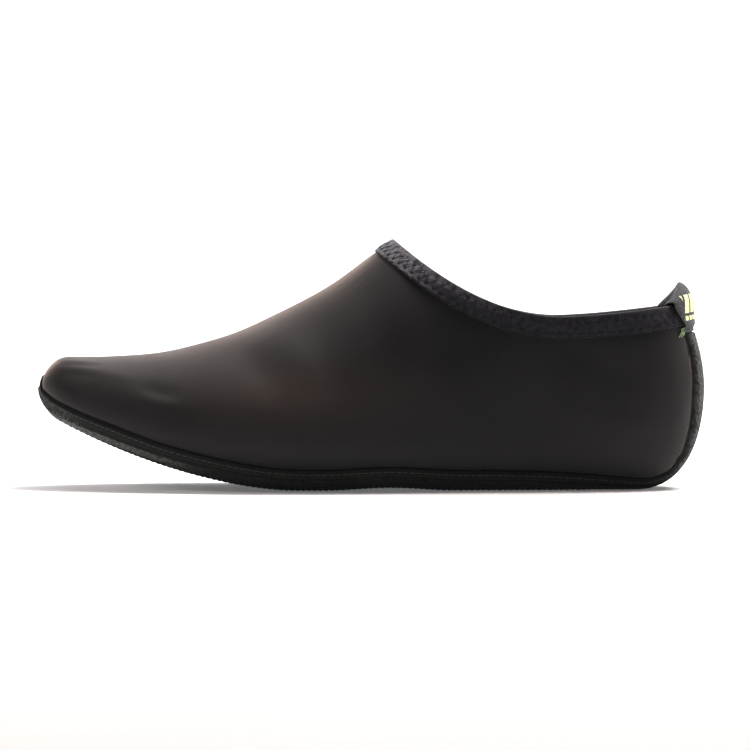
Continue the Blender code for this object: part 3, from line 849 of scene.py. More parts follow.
class Graph:
    """A node tree, with short ways to add nodes and join them."""

    def __init__(self, tree: bpy.types.NodeTree) -> None:
        """Keeps the tree."""
        self.tree = tree

    def add(self, kind: str, *values: Socket | float | tuple | None, **settings: object) -> bpy.types.Node:
        """Adds a node.

        Args:
            kind: Its type.
            values: What feeds its inputs in order: a socket to link, a value to set, or None to leave it.
            settings: Attributes to set on it.

        Returns:
            The node.
        """
        node = self.tree.nodes.new(kind)
        for name, value in settings.items():
            setattr(node, name, value)
        for place, value in enumerate(values):
            self.feed(node.inputs[place], value)
        return node

    def feed(self, socket: Socket, value: Socket | float | tuple | None) -> None:
        """Links a socket or sets its value; None leaves it.

        Args:
            socket: The input.
            value: A socket to link, a value to set, or None.
        """
        if isinstance(value, bpy.types.NodeSocket):
            self.tree.links.new(value, socket)
        elif value is not None:
            socket.default_value = value

    def math(self, operation: str, *values: Socket | float) -> Socket:
        """Result of a Math node."""
        return self.add("ShaderNodeMath", *values, operation=operation).outputs[0]

    def ramp(self, value: Socket, low: float, high: float, start: float = 0.0, end: float = 1.0) -> Socket:
        """Value mapped from low..high to start..end by a soft step."""
        node = self.add("ShaderNodeMapRange", value, low, high, start, end, interpolation_type="SMOOTHSTEP")
        return node.outputs[0]

    def mix(self, share: Socket | float, first: Socket | Colour, second: Socket | Colour) -> Socket:
        """Two colours mixed by a share.

        Args:
            share: Share of the second colour.
            first: The first colour.
            second: The second colour.

        Returns:
            The mixed colour.
        """
        node = self.add("ShaderNodeMix", data_type="RGBA")
        self.feed(node.inputs["Factor"], share)
        for name, value in (("A", first), ("B", second)):
            socket = next(item for item in node.inputs if item.name == name and item.type == "RGBA")
            self.feed(socket, (*value, 1.0) if isinstance(value, tuple) else value)
        return next(item for item in node.outputs if item.type == "RGBA")

    def noise(self, place: Socket, scale: float, detail: float = 2.0) -> Socket:
        """Soft noise from 0 to 1 at places.

        Args:
            place: The places.
            scale: Patches to the metre.
            detail: Finer layers of noise.

        Returns:
            The noise.
        """
        node = self.add("ShaderNodeTexNoise", place)
        node.inputs["Scale"].default_value = scale
        node.inputs["Detail"].default_value = detail
        return node.outputs["Fac"]

    def within(self, value: Socket, middle: float, half: float) -> Socket:
        """1 where a value lies nearer than half a width to a middle, 0 elsewhere."""
        away = self.math("ABSOLUTE", self.math("SUBTRACT", value, middle))
        return self.math("LESS_THAN", away, half)

    def mark(self, name: str) -> Socket:
        """A named value that the mesh carries."""
        return self.add("ShaderNodeAttribute", attribute_name=name).outputs["Fac"]

    def effect(self, group: bpy.types.NodeTree, **values: Socket | float) -> bpy.types.Node:
        """Places a node group and feeds its named inputs.

        Args:
            group: The group.
            values: What feeds its inputs, by name.

        Returns:
            The group's node.
        """
        node = self.add("ShaderNodeGroup", node_tree=group)
        for name, value in values.items():
            self.feed(node.inputs[name.replace("_", " ").capitalize()], value)
        return node


def effect_group(name: str, inputs: dict[str, float | None], outputs: Sequence[str],
                 fill: Callable[[Graph, dict[str, Socket]], dict[str, Socket]]) -> bpy.types.NodeTree:
    """Builds a shader node group once and returns it again after that.

    Args:
        name: The group's name.
        inputs: Input names with their starting value; None makes a vector.
        outputs: Names of the values that it puts out.
        fill: Adds the nodes between the inputs and the outputs.

    Returns:
        The group.
    """
    if name in bpy.data.node_groups:
        return bpy.data.node_groups[name]
    tree = bpy.data.node_groups.new(name, "ShaderNodeTree")
    for label, value in inputs.items():
        kind = "NodeSocketVector" if value is None else "NodeSocketFloat"
        socket = tree.interface.new_socket(name=label, in_out="INPUT", socket_type=kind)
        if value is not None:
            socket.default_value = value
    for label in outputs:
        tree.interface.new_socket(name=label, in_out="OUTPUT", socket_type="NodeSocketFloat")
    graph = Graph(tree)
    entry = graph.add("NodeGroupInput")
    leave = graph.add("NodeGroupOutput")
    made = fill(graph, {label: entry.outputs[label] for label in inputs})
    for label, socket in made.items():
        tree.links.new(socket, leave.inputs[label])
    return tree


def knit_group() -> bpy.types.NodeTree:
    """Jersey stitches on a flat map: columns of V shapes, round across each column.

    Returns:
        The group.
    """

    def fill(graph: Graph, entry: dict[str, Socket]) -> dict[str, Socket]:
        """Height: the column's round back times the slanted stitch wave; painted shade goes where it is low.
        """
        parts = graph.add("ShaderNodeSeparateXYZ", entry["Place"])
        column = graph.math("DIVIDE", parts.outputs[0], entry["Pitch"])
        row = graph.math("DIVIDE", parts.outputs[1], graph.math("MULTIPLY", entry["Pitch"], 0.8))
        side = graph.math("ABSOLUTE", graph.math("SUBTRACT", graph.math("FRACT", column), 0.5))
        back = graph.math("SUBTRACT", 1.0, graph.math("MULTIPLY", graph.math("POWER", side, 2.0), 3.2))
        slant = graph.math("ADD", row, graph.math("MULTIPLY", side, 1.3))
        wave = graph.math("SINE", graph.math("MULTIPLY", slant, 2 * np.pi))
        stitch = graph.math("MULTIPLY_ADD", wave, 0.3, 0.7)
        height = graph.math("MULTIPLY", back, stitch)
        return {"Height": height, "Gap shade": graph.ramp(height, 0.45, 0.15)}

    return effect_group("knit_stitches", {"Place": None, "Pitch": 0.8 * MM}, ("Height", "Gap shade"), fill)


def webbing_group() -> bpy.types.NodeTree:
    """Woven tape on a flat map: ribs across it, crossed by the warp.

    Returns:
        The group.
    """

    def fill(graph: Graph, entry: dict[str, Socket]) -> dict[str, Socket]:
        """Height is half a product of two waves plus the weft's own ribs; painted shade goes where it is low.
        """
        parts = graph.add("ShaderNodeSeparateXYZ", entry["Place"])
        warp = graph.math("DIVIDE", parts.outputs[0], entry["Warp"])
        weft = graph.math("DIVIDE", parts.outputs[1], entry["Weft"])
        wave_a = graph.math("SINE", graph.math("MULTIPLY", warp, np.pi))
        wave_b = graph.math("SINE", graph.math("MULTIPLY", weft, np.pi))
        crossed = graph.math("MULTIPLY", wave_a, wave_b)
        rib = graph.math("ABSOLUTE", wave_b)
        height = graph.math("MULTIPLY_ADD", crossed, 0.35, graph.math("MULTIPLY_ADD", rib, 0.4, 0.3))
        return {"Height": height, "Gap shade": graph.ramp(height, 0.4, 0.1)}

    inputs = {"Place": None, "Warp": 0.9 * MM, "Weft": 0.7 * MM}
    return effect_group("woven_tape", inputs, ("Height", "Gap shade"), fill)


def grain_group() -> bpy.types.NodeTree:
    """Slow and quick unevenness of a surface, for colour, roughness and wear.

    Returns:
        The group.
    """

    def fill(graph: Graph, entry: dict[str, Socket]) -> dict[str, Socket]:
        """Patches are slow noise, specks are quick noise cut at a threshold."""
        slow = graph.add("ShaderNodeTexNoise", entry["Place"])
        graph.feed(slow.inputs["Scale"], entry["Patch scale"])
        slow.inputs["Detail"].default_value = 3.0
        quick = graph.add("ShaderNodeTexNoise", entry["Place"])
        graph.feed(quick.inputs["Scale"], entry["Speck scale"])
        patches = graph.ramp(slow.outputs["Fac"], 0.3, 0.7)
        specks = graph.ramp(quick.outputs["Fac"], 0.56, 0.72)
        return {"Patches": patches, "Specks": specks, "Grain": quick.outputs["Fac"]}

    names = {"Place": None, "Patch scale": 40.0, "Speck scale": 900.0}
    return effect_group("uneven_grain", names, ("Patches", "Specks", "Grain"), fill)


@dataclass(frozen=True)
class Finish:
    """What every finish shares: its colours and how rough and fuzzy it is."""

    name: str
    dark: Colour
    light: Colour
    roughness: float = 0.8
    specular: float = 0.3
    sheen: float = 0.0
    sheen_tint: Colour = (1.0, 1.0, 1.0)
    sheen_roughness: float = 0.4

    def start(self) -> tuple[bpy.types.Material, Graph, bpy.types.Node]:
        """Makes the material with its Principled shader and the values that are the same all over.

        Returns:
            The material, its graph and its shader.
        """
        material = bpy.data.materials.new(self.name)
        material.use_nodes = True
        graph = Graph(material.node_tree)
        shader = material.node_tree.nodes["Principled BSDF"]
        shader.inputs["Roughness"].default_value = self.roughness
        shader.inputs["Specular IOR Level"].default_value = self.specular
        shader.inputs["Sheen Weight"].default_value = self.sheen
        shader.inputs["Sheen Roughness"].default_value = self.sheen_roughness
        shader.inputs["Sheen Tint"].default_value = (*self.sheen_tint, 1.0)
        return material, graph, shader

    def bump(self, graph: Graph, shader: bpy.types.Node, height: Socket, depth: float) -> None:
        """Feeds a height into the shader's normal, as a bump of a depth in metres.

        Args:
            graph: The material's graph.
            shader: Its Principled shader.
            height: Height from 0 to about 1.
            depth: Metres to one unit of height.
        """
        node = graph.add("ShaderNodeBump")
        node.inputs["Strength"].default_value = 1.0
        node.inputs["Distance"].default_value = depth
        graph.feed(node.inputs["Height"], height)
        graph.feed(shader.inputs["Normal"], node.outputs[0])


@dataclass(frozen=True)
class KnitFinish(Finish):
    """Stretch jersey: fine V stitches, slow patches of colour and a fuzzy sheen.

    Its marks paint light over the ball and shade along the seam's edge; both are 0 where it has none.
    """

    pitch: float = 0.8 * MM
    depth: float = 0.10 * MM
    # Colour of the painted light over the ball.
    painted_light_colour: Colour = (0.03, 0.03, 0.03)

    def build(self) -> bpy.types.Material:
        """Makes the material.

        Returns:
            The material.
        """
        material, graph, shader = self.start()
        flat = graph.add("ShaderNodeUVMap", uv_map="cloth").outputs[0]
        place = graph.add("ShaderNodeTexCoord").outputs["Object"]
        stitch = graph.effect(knit_group(), place=flat, pitch=self.pitch)
        grain = graph.effect(grain_group(), place=place, patch_scale=30.0, speck_scale=1400.0)
        body = graph.mix(grain.outputs["Patches"], self.dark, self.light)
        # Darker colour for painted shade along the seam's edge and in the stitches' gaps.
        deep = tuple(value * 0.55 for value in self.dark)
        body = graph.mix(graph.mark("seam_shade"), body, deep)
        # Painted light: a warm, lighter patch over the ball on the outer side.
        body = graph.mix(graph.mark("painted_light"), body, self.painted_light_colour)
        # Painted shade in the gaps between the stitches.
        graph.feed(shader.inputs["Base Color"], graph.mix(stitch.outputs["Gap shade"], body, deep))
        rough = graph.ramp(grain.outputs["Patches"], 0.0, 1.0, self.roughness - 0.06, self.roughness + 0.04)
        graph.feed(shader.inputs["Roughness"], rough)
        fuzz = graph.math("MULTIPLY_ADD", grain.outputs["Grain"], 0.25, stitch.outputs["Height"])
        self.bump(graph, shader, fuzz, self.depth)
        return material


@dataclass(frozen=True)
class RubberFinish(Finish):
    """Thin matt rubber with a mottled grain, dark along its sewn edge, lighter by wear and by painted light
    on its lip.

    The mesh's marks run from 0 to 1: one for the sewn edge, one for painted light on the toe's lip together
    with wear.
    """

    # The lighter colour: painted light on the toe's lip, and wear at the tip, on the heel strip and over the
    # ground.
    lip: Colour = (0.1, 0.1, 0.1)
    seam: Colour = (0.01, 0.01, 0.01)
    mottle: float = 720.0
    depth: float = 0.14 * MM

    def build(self) -> bpy.types.Material:
        """Makes the material.

        Returns:
            The material.
        """
        material, graph, shader = self.start()
        place = graph.add("ShaderNodeTexCoord").outputs["Object"]
        grain = graph.effect(grain_group(), place=place, patch_scale=60.0, speck_scale=1100.0)
        mottle = graph.noise(place, self.mottle, 3.0)
        body = graph.mix(grain.outputs["Patches"], self.dark, self.light)
        uneven = graph.ramp(mottle, 0.38, 0.62, 0.25, 1.45)
        # One mark mixes in painted light on the toe's lip and real wear elsewhere.
        coloured = graph.mix(graph.math("MULTIPLY", graph.mark("worn"), uneven), body, self.lip)
        sewn = graph.mark("sewn")
        graph.feed(shader.inputs["Base Color"], graph.mix(sewn, coloured, self.seam))
        graph.feed(shader.inputs["Roughness"], graph.ramp(sewn, 0.0, 1.0, self.roughness, 0.92))
        height = graph.math("MULTIPLY_ADD", mottle, 1.4, grain.outputs["Grain"])
        self.bump(graph, shader, height, self.depth)
        return material


@dataclass(frozen=True)
class BarPattern:
    """Sizes of the tab's pattern: bars that lean across the tape, and dashes in a row below them."""

    lean: float = -0.30
    bar_pitch: float = 4.2 * MM
    bar_share: float = 0.34
    bar_middle: float = 10.6 * MM
    bar_half: float = 3.3 * MM
    dash_pitch: float = 2.8 * MM
    dash_share: float = 0.66
    dash_middle: float = 5.4 * MM
    dash_half: float = 0.8 * MM
    reach: float = 14.0 * MM


@dataclass(frozen=True)
class TapeFinish(Finish):
    """Woven tape, with an optional lime pattern of slanted bars over a row of short dashes; painted light and
    shade.
    """

    warp: float = 0.9 * MM
    weft: float = 0.7 * MM
    depth: float = 0.16 * MM
    mottle: float = 700.0
    lime: Colour | None = None
    # Colour of the painted highlight at the tape's throat and fold.
    painted_highlight: Colour = (0.08, 0.08, 0.08)
    bars: BarPattern = BarPattern()

    def build(self) -> bpy.types.Material:
        """Makes the material.

        Returns:
            The material.
        """
        material, graph, shader = self.start()
        flat = graph.add("ShaderNodeUVMap", uv_map="cloth").outputs[0]
        place = graph.add("ShaderNodeTexCoord").outputs["Object"]
        weave = graph.effect(webbing_group(), place=flat, warp=self.warp, weft=self.weft)
        grain = graph.effect(grain_group(), place=place, patch_scale=120.0, speck_scale=1500.0)
        mottle = graph.noise(place, self.mottle, 3.0)
        body = graph.mix(graph.ramp(mottle, 0.34, 0.66), self.dark, self.light)
        deep = tuple(value * 0.5 for value in self.dark)
        # Painted highlight, mottled, at throat and fold.
        patchy = graph.math("MULTIPLY", graph.mark("painted_highlight"), graph.ramp(mottle, 0.38, 0.56, 0.2, 1.0))
        body = graph.mix(patchy, body, self.painted_highlight)
        # Painted shade in the weave's gaps, along the hem and in the dimples.
        coloured = graph.mix(graph.math("MAXIMUM", weave.outputs["Gap shade"], graph.mark("hem")), body, deep)
        if self.lime:
            coloured = graph.mix(self.pattern(graph, flat), coloured, self.lime)
        graph.feed(shader.inputs["Base Color"], coloured)
        rough = graph.ramp(grain.outputs["Patches"], 0, 1, self.roughness - 0.05, self.roughness + 0.05)
        graph.feed(shader.inputs["Roughness"], rough)
        self.bump(graph, shader, graph.math("MULTIPLY_ADD", mottle, 1.2, weave.outputs["Height"]), self.depth)
        return material

    def pattern(self, graph: Graph, flat: Socket) -> Socket:
        """Mask of the lime threads.

        Args:
            graph: The material's graph.
            flat: The tape's flat map: across its width, and up from its outer end.

        Returns:
            The mask from 0 to 1.
        """
        parts = graph.add("ShaderNodeSeparateXYZ", flat)
        across = parts.outputs[0]
        up = parts.outputs[1]
        lean = graph.math("MULTIPLY_ADD", up, self.bars.lean, across)
        bars = graph.math("FRACT", graph.math("DIVIDE", lean, self.bars.bar_pitch))
        bar = graph.within(bars, 0.5, self.bars.bar_share)
        tall = graph.within(up, self.bars.bar_middle, self.bars.bar_half)
        dashes = graph.math("FRACT", graph.math("DIVIDE", across, self.bars.dash_pitch))
        dash = graph.math("LESS_THAN", dashes, self.bars.dash_share)
        low = graph.within(up, self.bars.dash_middle, self.bars.dash_half)
        inside = graph.within(across, 0.0, self.bars.reach)
        both = graph.math("MAXIMUM", graph.math("MULTIPLY", bar, tall), graph.math("MULTIPLY", dash, low))
        return graph.math("MULTIPLY", both, inside)


@dataclass(frozen=True)
class ThreadFinish(Finish):
    """Sewing thread: plies that twist round it, on a map that runs around the thread and along it."""

    warp: float = 0.5 * MM
    weft: float = 0.35 * MM
    depth: float = 0.06 * MM

    def build(self) -> bpy.types.Material:
        """Makes the material.

        Returns:
            The material.
        """
        material, graph, shader = self.start()
        flat = graph.add("ShaderNodeUVMap", uv_map="cloth").outputs[0]
        weave = graph.effect(webbing_group(), place=flat, warp=self.warp, weft=self.weft)
        # Painted shade: darker between the plies, lighter on them.
        graph.feed(shader.inputs["Base Color"], graph.mix(weave.outputs["Height"], self.dark, self.light))
        self.bump(graph, shader, weave.outputs["Height"], self.depth)
        return material


# The knit's lighter colour over the ball is painted light.
KNIT = KnitFinish("stretch_knit", srgb(21, 21, 23), srgb(25, 25, 27), 0.56, 0.15, 0.60, (1.0, 0.77, 0.70),
                  0.29, pitch=0.55 * MM, depth=0.025 * MM, painted_light_colour=srgb(60, 52, 49))
# A darker knit without sheen: painted shade where the knit dips into the seam.
SHADED_SEAM_KNIT = KnitFinish("knit_in_seam_shaded", srgb(16, 16, 17), srgb(20, 20, 21), 0.85, 0.1, pitch=0.55 * MM,
                       depth=0.025 * MM)
LINING = KnitFinish("lining_jersey", srgb(38, 38, 40), srgb(48, 48, 50), 0.9, 0.2, 0.1, pitch=1.1 * MM)
# The lip colour is painted light on the toe's lip, and wear elsewhere.
RUBBER = RubberFinish("sole_rubber", srgb(20, 21, 21), srgb(28, 29, 29), 0.82, 0.14, lip=srgb(84, 87, 86),
                      seam=srgb(27, 28, 28))
INNER_SOLE = KnitFinish("sole_backing", srgb(34, 34, 35), srgb(42, 42, 43), 0.9, 0.2, pitch=1.3 * MM)
# The tape's lighter colour at throat and fold is a painted highlight.
BINDING_TAPE = TapeFinish("binding_elastic", srgb(25, 25, 29), srgb(36, 36, 41), 0.85, 0.12, 0.28,
                          (0.92, 0.90, 1.0), 0.3, warp=0.9 * MM, weft=0.7 * MM, mottle=520.0,
                          painted_highlight=srgb(92, 91, 97))
WEBBING = TapeFinish("tab_webbing", srgb(36, 37, 39), srgb(74, 75, 78), 0.85, 0.12, 0.12, depth=0.26 * MM,
                     mottle=1500.0, lime=srgb(240, 247, 182))
FOOTBED = KnitFinish("footbed_cloth", srgb(50, 50, 52), srgb(62, 62, 64), 0.9, 0.15, 0.1, pitch=1.0 * MM,
                     depth=0.08 * MM)
SEAM_THREAD = ThreadFinish("seam_thread", srgb(22, 23, 23), srgb(46, 48, 47), 0.85, 0.2)
LIGHT_THREAD = ThreadFinish("light_thread", srgb(42, 44, 43), srgb(68, 70, 69), 0.8, 0.2)
COLLAR_THREAD = ThreadFinish("collar_thread", srgb(26, 26, 30), srgb(42, 42, 48), 0.85, 0.12)
GREEN_THREAD = ThreadFinish("green_thread", srgb(62, 96, 60), srgb(158, 186, 140), 0.8, 0.25)


@dataclass(frozen=True)
class Crease:
    """A soft trough or ridge of the knit, drawn in the side view through three points.

    Attributes:
        start: Distance from the toe and height of its first end.
        bend: The point that it bows towards.
        end: Its other end.
        width: Half width of its section.
        depth: Its height, under 0 for a trough.
        side: The side of the foot that it lies on, or None for both.
    """

    start: tuple[float, float]
    bend: tuple[float, float]
    end: tuple[float, float]
    width: float
    depth: float
    side: Side | None = None

    def relief(self, x: Array, y: Array, height: Array) -> Array:
        """Height of the crease over the surface: a bell across it, fading towards both ends.

        Args:
            x: Distances from the toe.
            y: Sideways places from the section's centre line.
            height: Heights above the floor.

        Returns:
            Distances out along the normal.
        """
        steps = 24
        t = np.linspace(0, 1, steps + 1)[:, None]
        start, bend, end = np.array((self.start, self.bend, self.end))
        line = (1 - t) ** 2 * start + 2 * t * (1 - t) * bend + t ** 2 * end
        spread = np.hypot(x[:, None] - line[:, 0], height[:, None] - line[:, 1])
        closest = spread.argmin(axis=1)
        fade = np.sin(np.pi * (0.04 + 0.92 * closest / steps)) ** 0.7
        chosen = 1.0 if self.side is None else (y * self.side.value > 0)
        return self.depth * np.exp(-(spread.min(axis=1) / self.width) ** 2) * fade * chosen


@dataclass
class Upper:
    """The knit shell, with its creases, the tuck where it is sewn to the sole and the lining inside."""

    wall: float = 1.5 * MM
    tuck: float = 0.4 * MM
    strip_tuck: float = 0.5 * MM
    tuck_width: float = 1.0 * MM
    ripple: float = 0.10 * MM
    calm: float = 6.0 * MM
    heel_share: tuple[float, float] = (0.90, 0.96)
    # Place and reach of the painted light over the ball, in the side view.
    painted_light_place: tuple[float, float] = (0.093, 0.037)
    painted_light_reach: tuple[float, float] = (0.032, 0.010)
    creases: tuple[Crease, ...] = (
        Crease((0.0070, 0.0472), (0.0140, 0.0475), (0.0225, 0.0470), 0.0009, 0.00022, Side.OUTER),
        Crease((0.0080, 0.0461), (0.0150, 0.0464), (0.0245, 0.0457), 0.0010, -0.00026, Side.OUTER),
        Crease((0.0065, 0.0449), (0.0200, 0.0455), (0.0370, 0.0412), 0.0022, 0.00036, Side.OUTER),
        Crease((0.0085, 0.0432), (0.0160, 0.0430), (0.0230, 0.0424), 0.0019, -0.00038, Side.OUTER),
        Crease((0.0080, 0.0465), (0.0170, 0.0462), (0.0300, 0.0445), 0.0016, -0.00028, Side.INNER),
        Crease((0.038, 0.0388), (0.046, 0.0362), (0.055, 0.0350), 0.0030, -0.00060),
        Crease((0.040, 0.0350), (0.048, 0.0330), (0.056, 0.0325), 0.0028, 0.00035),
        Crease((0.072, 0.0540), (0.088, 0.0450), (0.092, 0.0300), 0.0060, -0.00050),
        Crease((0.086, 0.0600), (0.104, 0.0480), (0.106, 0.0300), 0.0065, 0.00045),
        Crease((0.118, 0.0780), (0.134, 0.0600), (0.130, 0.0400), 0.0080, -0.00040),
        Crease((0.196, 0.0520), (0.214, 0.0420), (0.236, 0.0400), 0.0060, -0.00045),
        Crease((0.200, 0.0300), (0.218, 0.0240), (0.234, 0.0240), 0.0050, 0.00035),
        Crease((0.150, 0.0440), (0.176, 0.0380), (0.196, 0.0420), 0.0080, 0.00030),
    )

    def relief(self, skin: Skin) -> Array:
        """Height of the knit over the last's surface: creases, a slow ripple and tucks at its sewn edges.

        Args:
            skin: The surface.

        Returns:
            Distances out along the normals.
        """
        points = skin.points - skin.origin
        along = points[:, 0] / skin.last.length
        off = points[:, 1] - skin.last.centre(along, points[:, 2])
        total = np.zeros(len(points))
        for crease in self.creases:
            total += crease.relief(points[:, 0], off, points[:, 2])
        x, y, z = points.T
        total += self.ripple * np.sin(x * 210 + y * 90) * np.sin(z * 160 - x * 55 + 1.3)
        edge = nearest(skin.points, skin.rim_edge())
        tuck = self.tuck + (self.strip_tuck - self.tuck) * smooth(along, *self.heel_share)
        return total * smooth(edge, 0, self.calm) - tuck * hump(edge, 0, self.tuck_width)

    def painted_light(self, skin: Skin) -> Array:
        """Where light is painted on the outer side: a soft oval in the side view, over the ball.

        Args:
            skin: The surface.

        Returns:
            The mark, from 0 to 1.
        """
        points = skin.points - skin.origin
        off = points[:, 1] - skin.last.centre(points[:, 0] / skin.last.length, points[:, 2])
        oval = 1.0
        for axis, middle, width in zip((0, 2), self.painted_light_place, self.painted_light_reach):
            oval = oval * hump(points[:, axis], middle, width)
        return 0.8 * oval * smooth(-off, 5 * MM, 25 * MM)

    def build(self, skin: Skin) -> None:
        """Makes the shell between the displaced skin and the lining.

        Args:
            skin: The surface.
        """
        columns = [column % (2 * skin.half) for column in range(-skin.SIDE, skin.SIDE)]
        outer = skin.points + skin.normals * self.relief(skin)[:, None]
        inner = skin.points - skin.normals * self.wall
        edge = nearest(skin.points, skin.rim_edge())
        # Marks of painted shade along the seam's edge and painted light over the ball.
        marks = {"seam_shade": hump(edge, 0, 1.1 * MM), "painted_light": self.painted_light(skin)}
        faces = skin.ring_faces(columns)
        shape = walled(outer, inner, faces, skin.cloth_map(), marks)
        # Faces by the seam take the darker knit without sheen, as painted shade.
        share = (skin.points[faces[:, 0], 0] - skin.origin[0]) / skin.last.length
        reach = self.tuck_width * (1 + smooth(share, *self.heel_share))
        shape.slots[:len(faces)] = np.where(edge[faces].mean(axis=1) < reach, 2, 0)
        shape.piece("upper_knit", [KNIT.build(), LINING.build(), SHADED_SEAM_KNIT.build()], "upper", "knit")


@dataclass
class Sole:
    """The rubber sheet with its stitched edge, a lip with painted light, heel strip and tread.

    The shares of the length say where the rim turns into the strip, and where the wear of the tip ends.
    """

    proud: float = 0.9 * MM
    depth: float = 1.9 * MM
    thin: float = 1.5 * MM
    seam_proud: float = 0.45 * MM
    seam_width: float = 4.4 * MM
    strip_seam: float = 1.2 * MM
    rim_sunk: float = 0.35 * MM
    strip_sunk: float = 0.65 * MM
    web_height: float = 0.20 * MM
    border_height: float = 0.04 * MM
    tab_leg: float = 10.5 * MM
    tab_step: float = 0.6 * MM
    dot_pitch: float = 2.4 * MM
    dot_radius: float = 0.80 * MM
    dot_margin: float = 11.4 * MM
    rib_pitch: float = 1.05 * MM
    rib_height: float = 0.16 * MM
    strip_share: tuple[float, float] = (0.925, 0.962)
    tip_share: tuple[float, float] = (0.03, 0.10)
    ground_worn: float = 0.08
    dot_rings: tuple[tuple[float, float], ...] = ((1.05, -0.10 * MM), (0.92, 0.12 * MM), (0.5, 0.20 * MM))

    def seam(self, skin: Skin) -> Array:
        """Width of the sewn edge at each point of the skin: wide round the rim, narrow on the heel strip."""
        share = (skin.points[:, 0] - skin.origin[0]) / skin.last.length
        return self.seam_width + (self.strip_seam - self.seam_width) * smooth(share, *self.strip_share)

    def profile(self, edge: Array, seam: Array | float) -> Array:
        """How proud the outside is: tucked at the edge, flat under the seam, then up to the lip.

        Args:
            edge: Distances from the sole's edge.
            seam: Width of the sewn edge there.

        Returns:
            Distances out along the normals.
        """
        narrow = (self.seam_width - seam) / (self.seam_width - self.strip_seam)
        sunk = self.rim_sunk + (self.strip_sunk - self.rim_sunk) * narrow
        sewn = -sunk + (self.seam_proud + sunk) * smooth(edge, 0.0, 0.5 * MM)
        step = smooth(edge, seam - 0.25 * MM, seam + 0.2 * MM)
        lip = 0.12 * MM * hump(edge, seam + 0.7 * MM, 0.7 * MM)
        return sewn + (self.proud - self.seam_proud) * step + lip

    def marks(self, skin: Skin, edge: Array, seam: Array) -> dict[str, Array]:
        """Where the rubber is sewn, and where it is lighter: painted light on the lip, wear at tip and heel
        strip.

        Args:
            skin: The surface.
            edge: Distance of each point from the sole's edge.
            seam: Width of the sewn edge at each point.

        Returns:
            The two marks by name.
        """
        share = (skin.points[:, 0] - skin.origin[0]) / skin.last.length
        # Painted light: the toe's lip lighter, fading out towards the ball.
        lip = smooth(edge, seam + 0.3 * MM, seam + 1.3 * MM) * (1 - smooth(edge, 8.5 * MM, 12 * MM))
        toe = lip * (1 - smooth(share, 0.14, 0.27))
        tip = 0.5 * smooth(edge, 0.4 * MM, 1.2 * MM) * (1 - smooth(share, *self.tip_share))
        strip = 0.50 * smooth(edge, 0.7 * MM, 1.4 * MM) * smooth(share, 0.94, 0.965)
        strip = strip * smooth(skin.points[:, 2], 3 * MM, 11 * MM)
        # One mark for painted light on the lip and real wear at tip, strip and ground.
        worn = np.clip(np.maximum(np.maximum(toe, tip), strip) + self.ground_worn, 0, 1)
        sewn = (1 - smooth(edge, seam - 0.2 * MM, seam)) * (1 - 0.8 * smooth(share, *self.strip_share))
        return {"worn": worn, "sewn": sewn * (1 - 0.6 * (1 - smooth(share, *self.tip_share)))}

    def build(self, skin: Skin) -> None:
        """Makes the dish with its strip, the rim's peak at the toe tip and the tread under it.

        Args:
            skin: The surface.
        """
        edge = nearest(skin.points, skin.rim_edge())
        seam = self.seam(skin)
        rings = skin.ring_index
        proud = self.profile(edge, seam)
        proud[rings] += self.ribs(skin, edge)
        full = smooth(skin.below_collar(), self.tab_leg, self.tab_leg + self.tab_step)
        proud[rings] *= full
        depth = np.full(len(skin.points), self.depth)
        depth[rings] = self.thin + (self.depth - self.thin) * full
        outer = skin.points + skin.normals * proud[:, None]
        dish = skin.sole_index.ravel()
        inside = smooth(edge[dish], self.dot_margin - 1.5 * MM, self.dot_margin)
        web = self.border_height + (self.web_height - self.border_height) * inside
        outer[dish, 2] = np.maximum(outer[dish, 2], web)
        inner = skin.points - skin.normals * depth[:, None]
        tail = range(skin.SIDE, 2 * skin.half - skin.SIDE)
        faces = np.concatenate((grid_faces(skin.sole_index), skin.ring_faces(tail)))
        shape = walled(outer, inner, faces, skin.cloth_map(), self.marks(skin, edge, seam))
        rubber = RUBBER.build()
        shape.piece("sole_rubber", [rubber, INNER_SOLE.build()], "sole", "sole_rubber")
        self.peak(skin, rubber)
        self.tread(skin, rubber)

    def peak(self, skin: Skin, rubber: bpy.types.Material) -> None:
        """The rim's low peak over the toe tip: a patch that rests on the knit, with the rim's own profile.

        Args:
            skin: The surface to lay it on.
            rubber: Its material.
        """
        band = skin.toe_band()
        least = 0.02 * MM
        lines = np.linspace(0, len(band.edge) - 1, 73)
        top = np.interp(lines, np.arange(len(band.edge)), skin.toe_peak(band))
        share = np.linspace(0, 1, 19)
        below = 0.8 * MM * (top > least)
        distance = -below[:, None] + (top + below)[:, None] * share
        base, _ = band.place(np.repeat(lines, len(share)), distance.ravel(), 0.0)
        edge = nearest(base, skin.rim_edge())
        proud = self.profile(edge, self.seam_width)
        skins = [band.place(np.repeat(lines, len(share)), distance.ravel(), out)[0]
                 for out in (proud, np.minimum(proud - 0.1 * MM, -0.3 * MM))]
        kept = np.flatnonzero(top > least)
        index = np.arange(len(base)).reshape(len(lines), len(share))[kept[0]:kept[-1] + 1]
        worn = 0.55 * smooth(edge, 0.4 * MM, 1.2 * MM)
        marks = {"worn": worn, "sewn": 0.4 * (1 - smooth(edge, 0, 1.2 * MM))}
        shape = walled(*skins, grid_faces(index), None, marks)
        shape.piece("sole_toe_peak", [rubber, rubber], None, "sole_rubber")

    def ribs(self, skin: Skin, edge: Array) -> Array:
        """Low ribs across the heel strip: a wave up its height, faded out near its edges.

        Args:
            skin: The surface.
            edge: Distance of each point from the sole's edge.

        Returns:
            Heights of the ribs, by ring and point.
        """
        rows = skin.ring_index
        height = skin.points[rows][..., 2]
        wave = 0.5 + 0.5 * np.sin(2 * np.pi * height / self.rib_pitch)
        return self.rib_height * wave * smooth(edge[rows], self.strip_seam, self.strip_seam + 1.2 * MM)

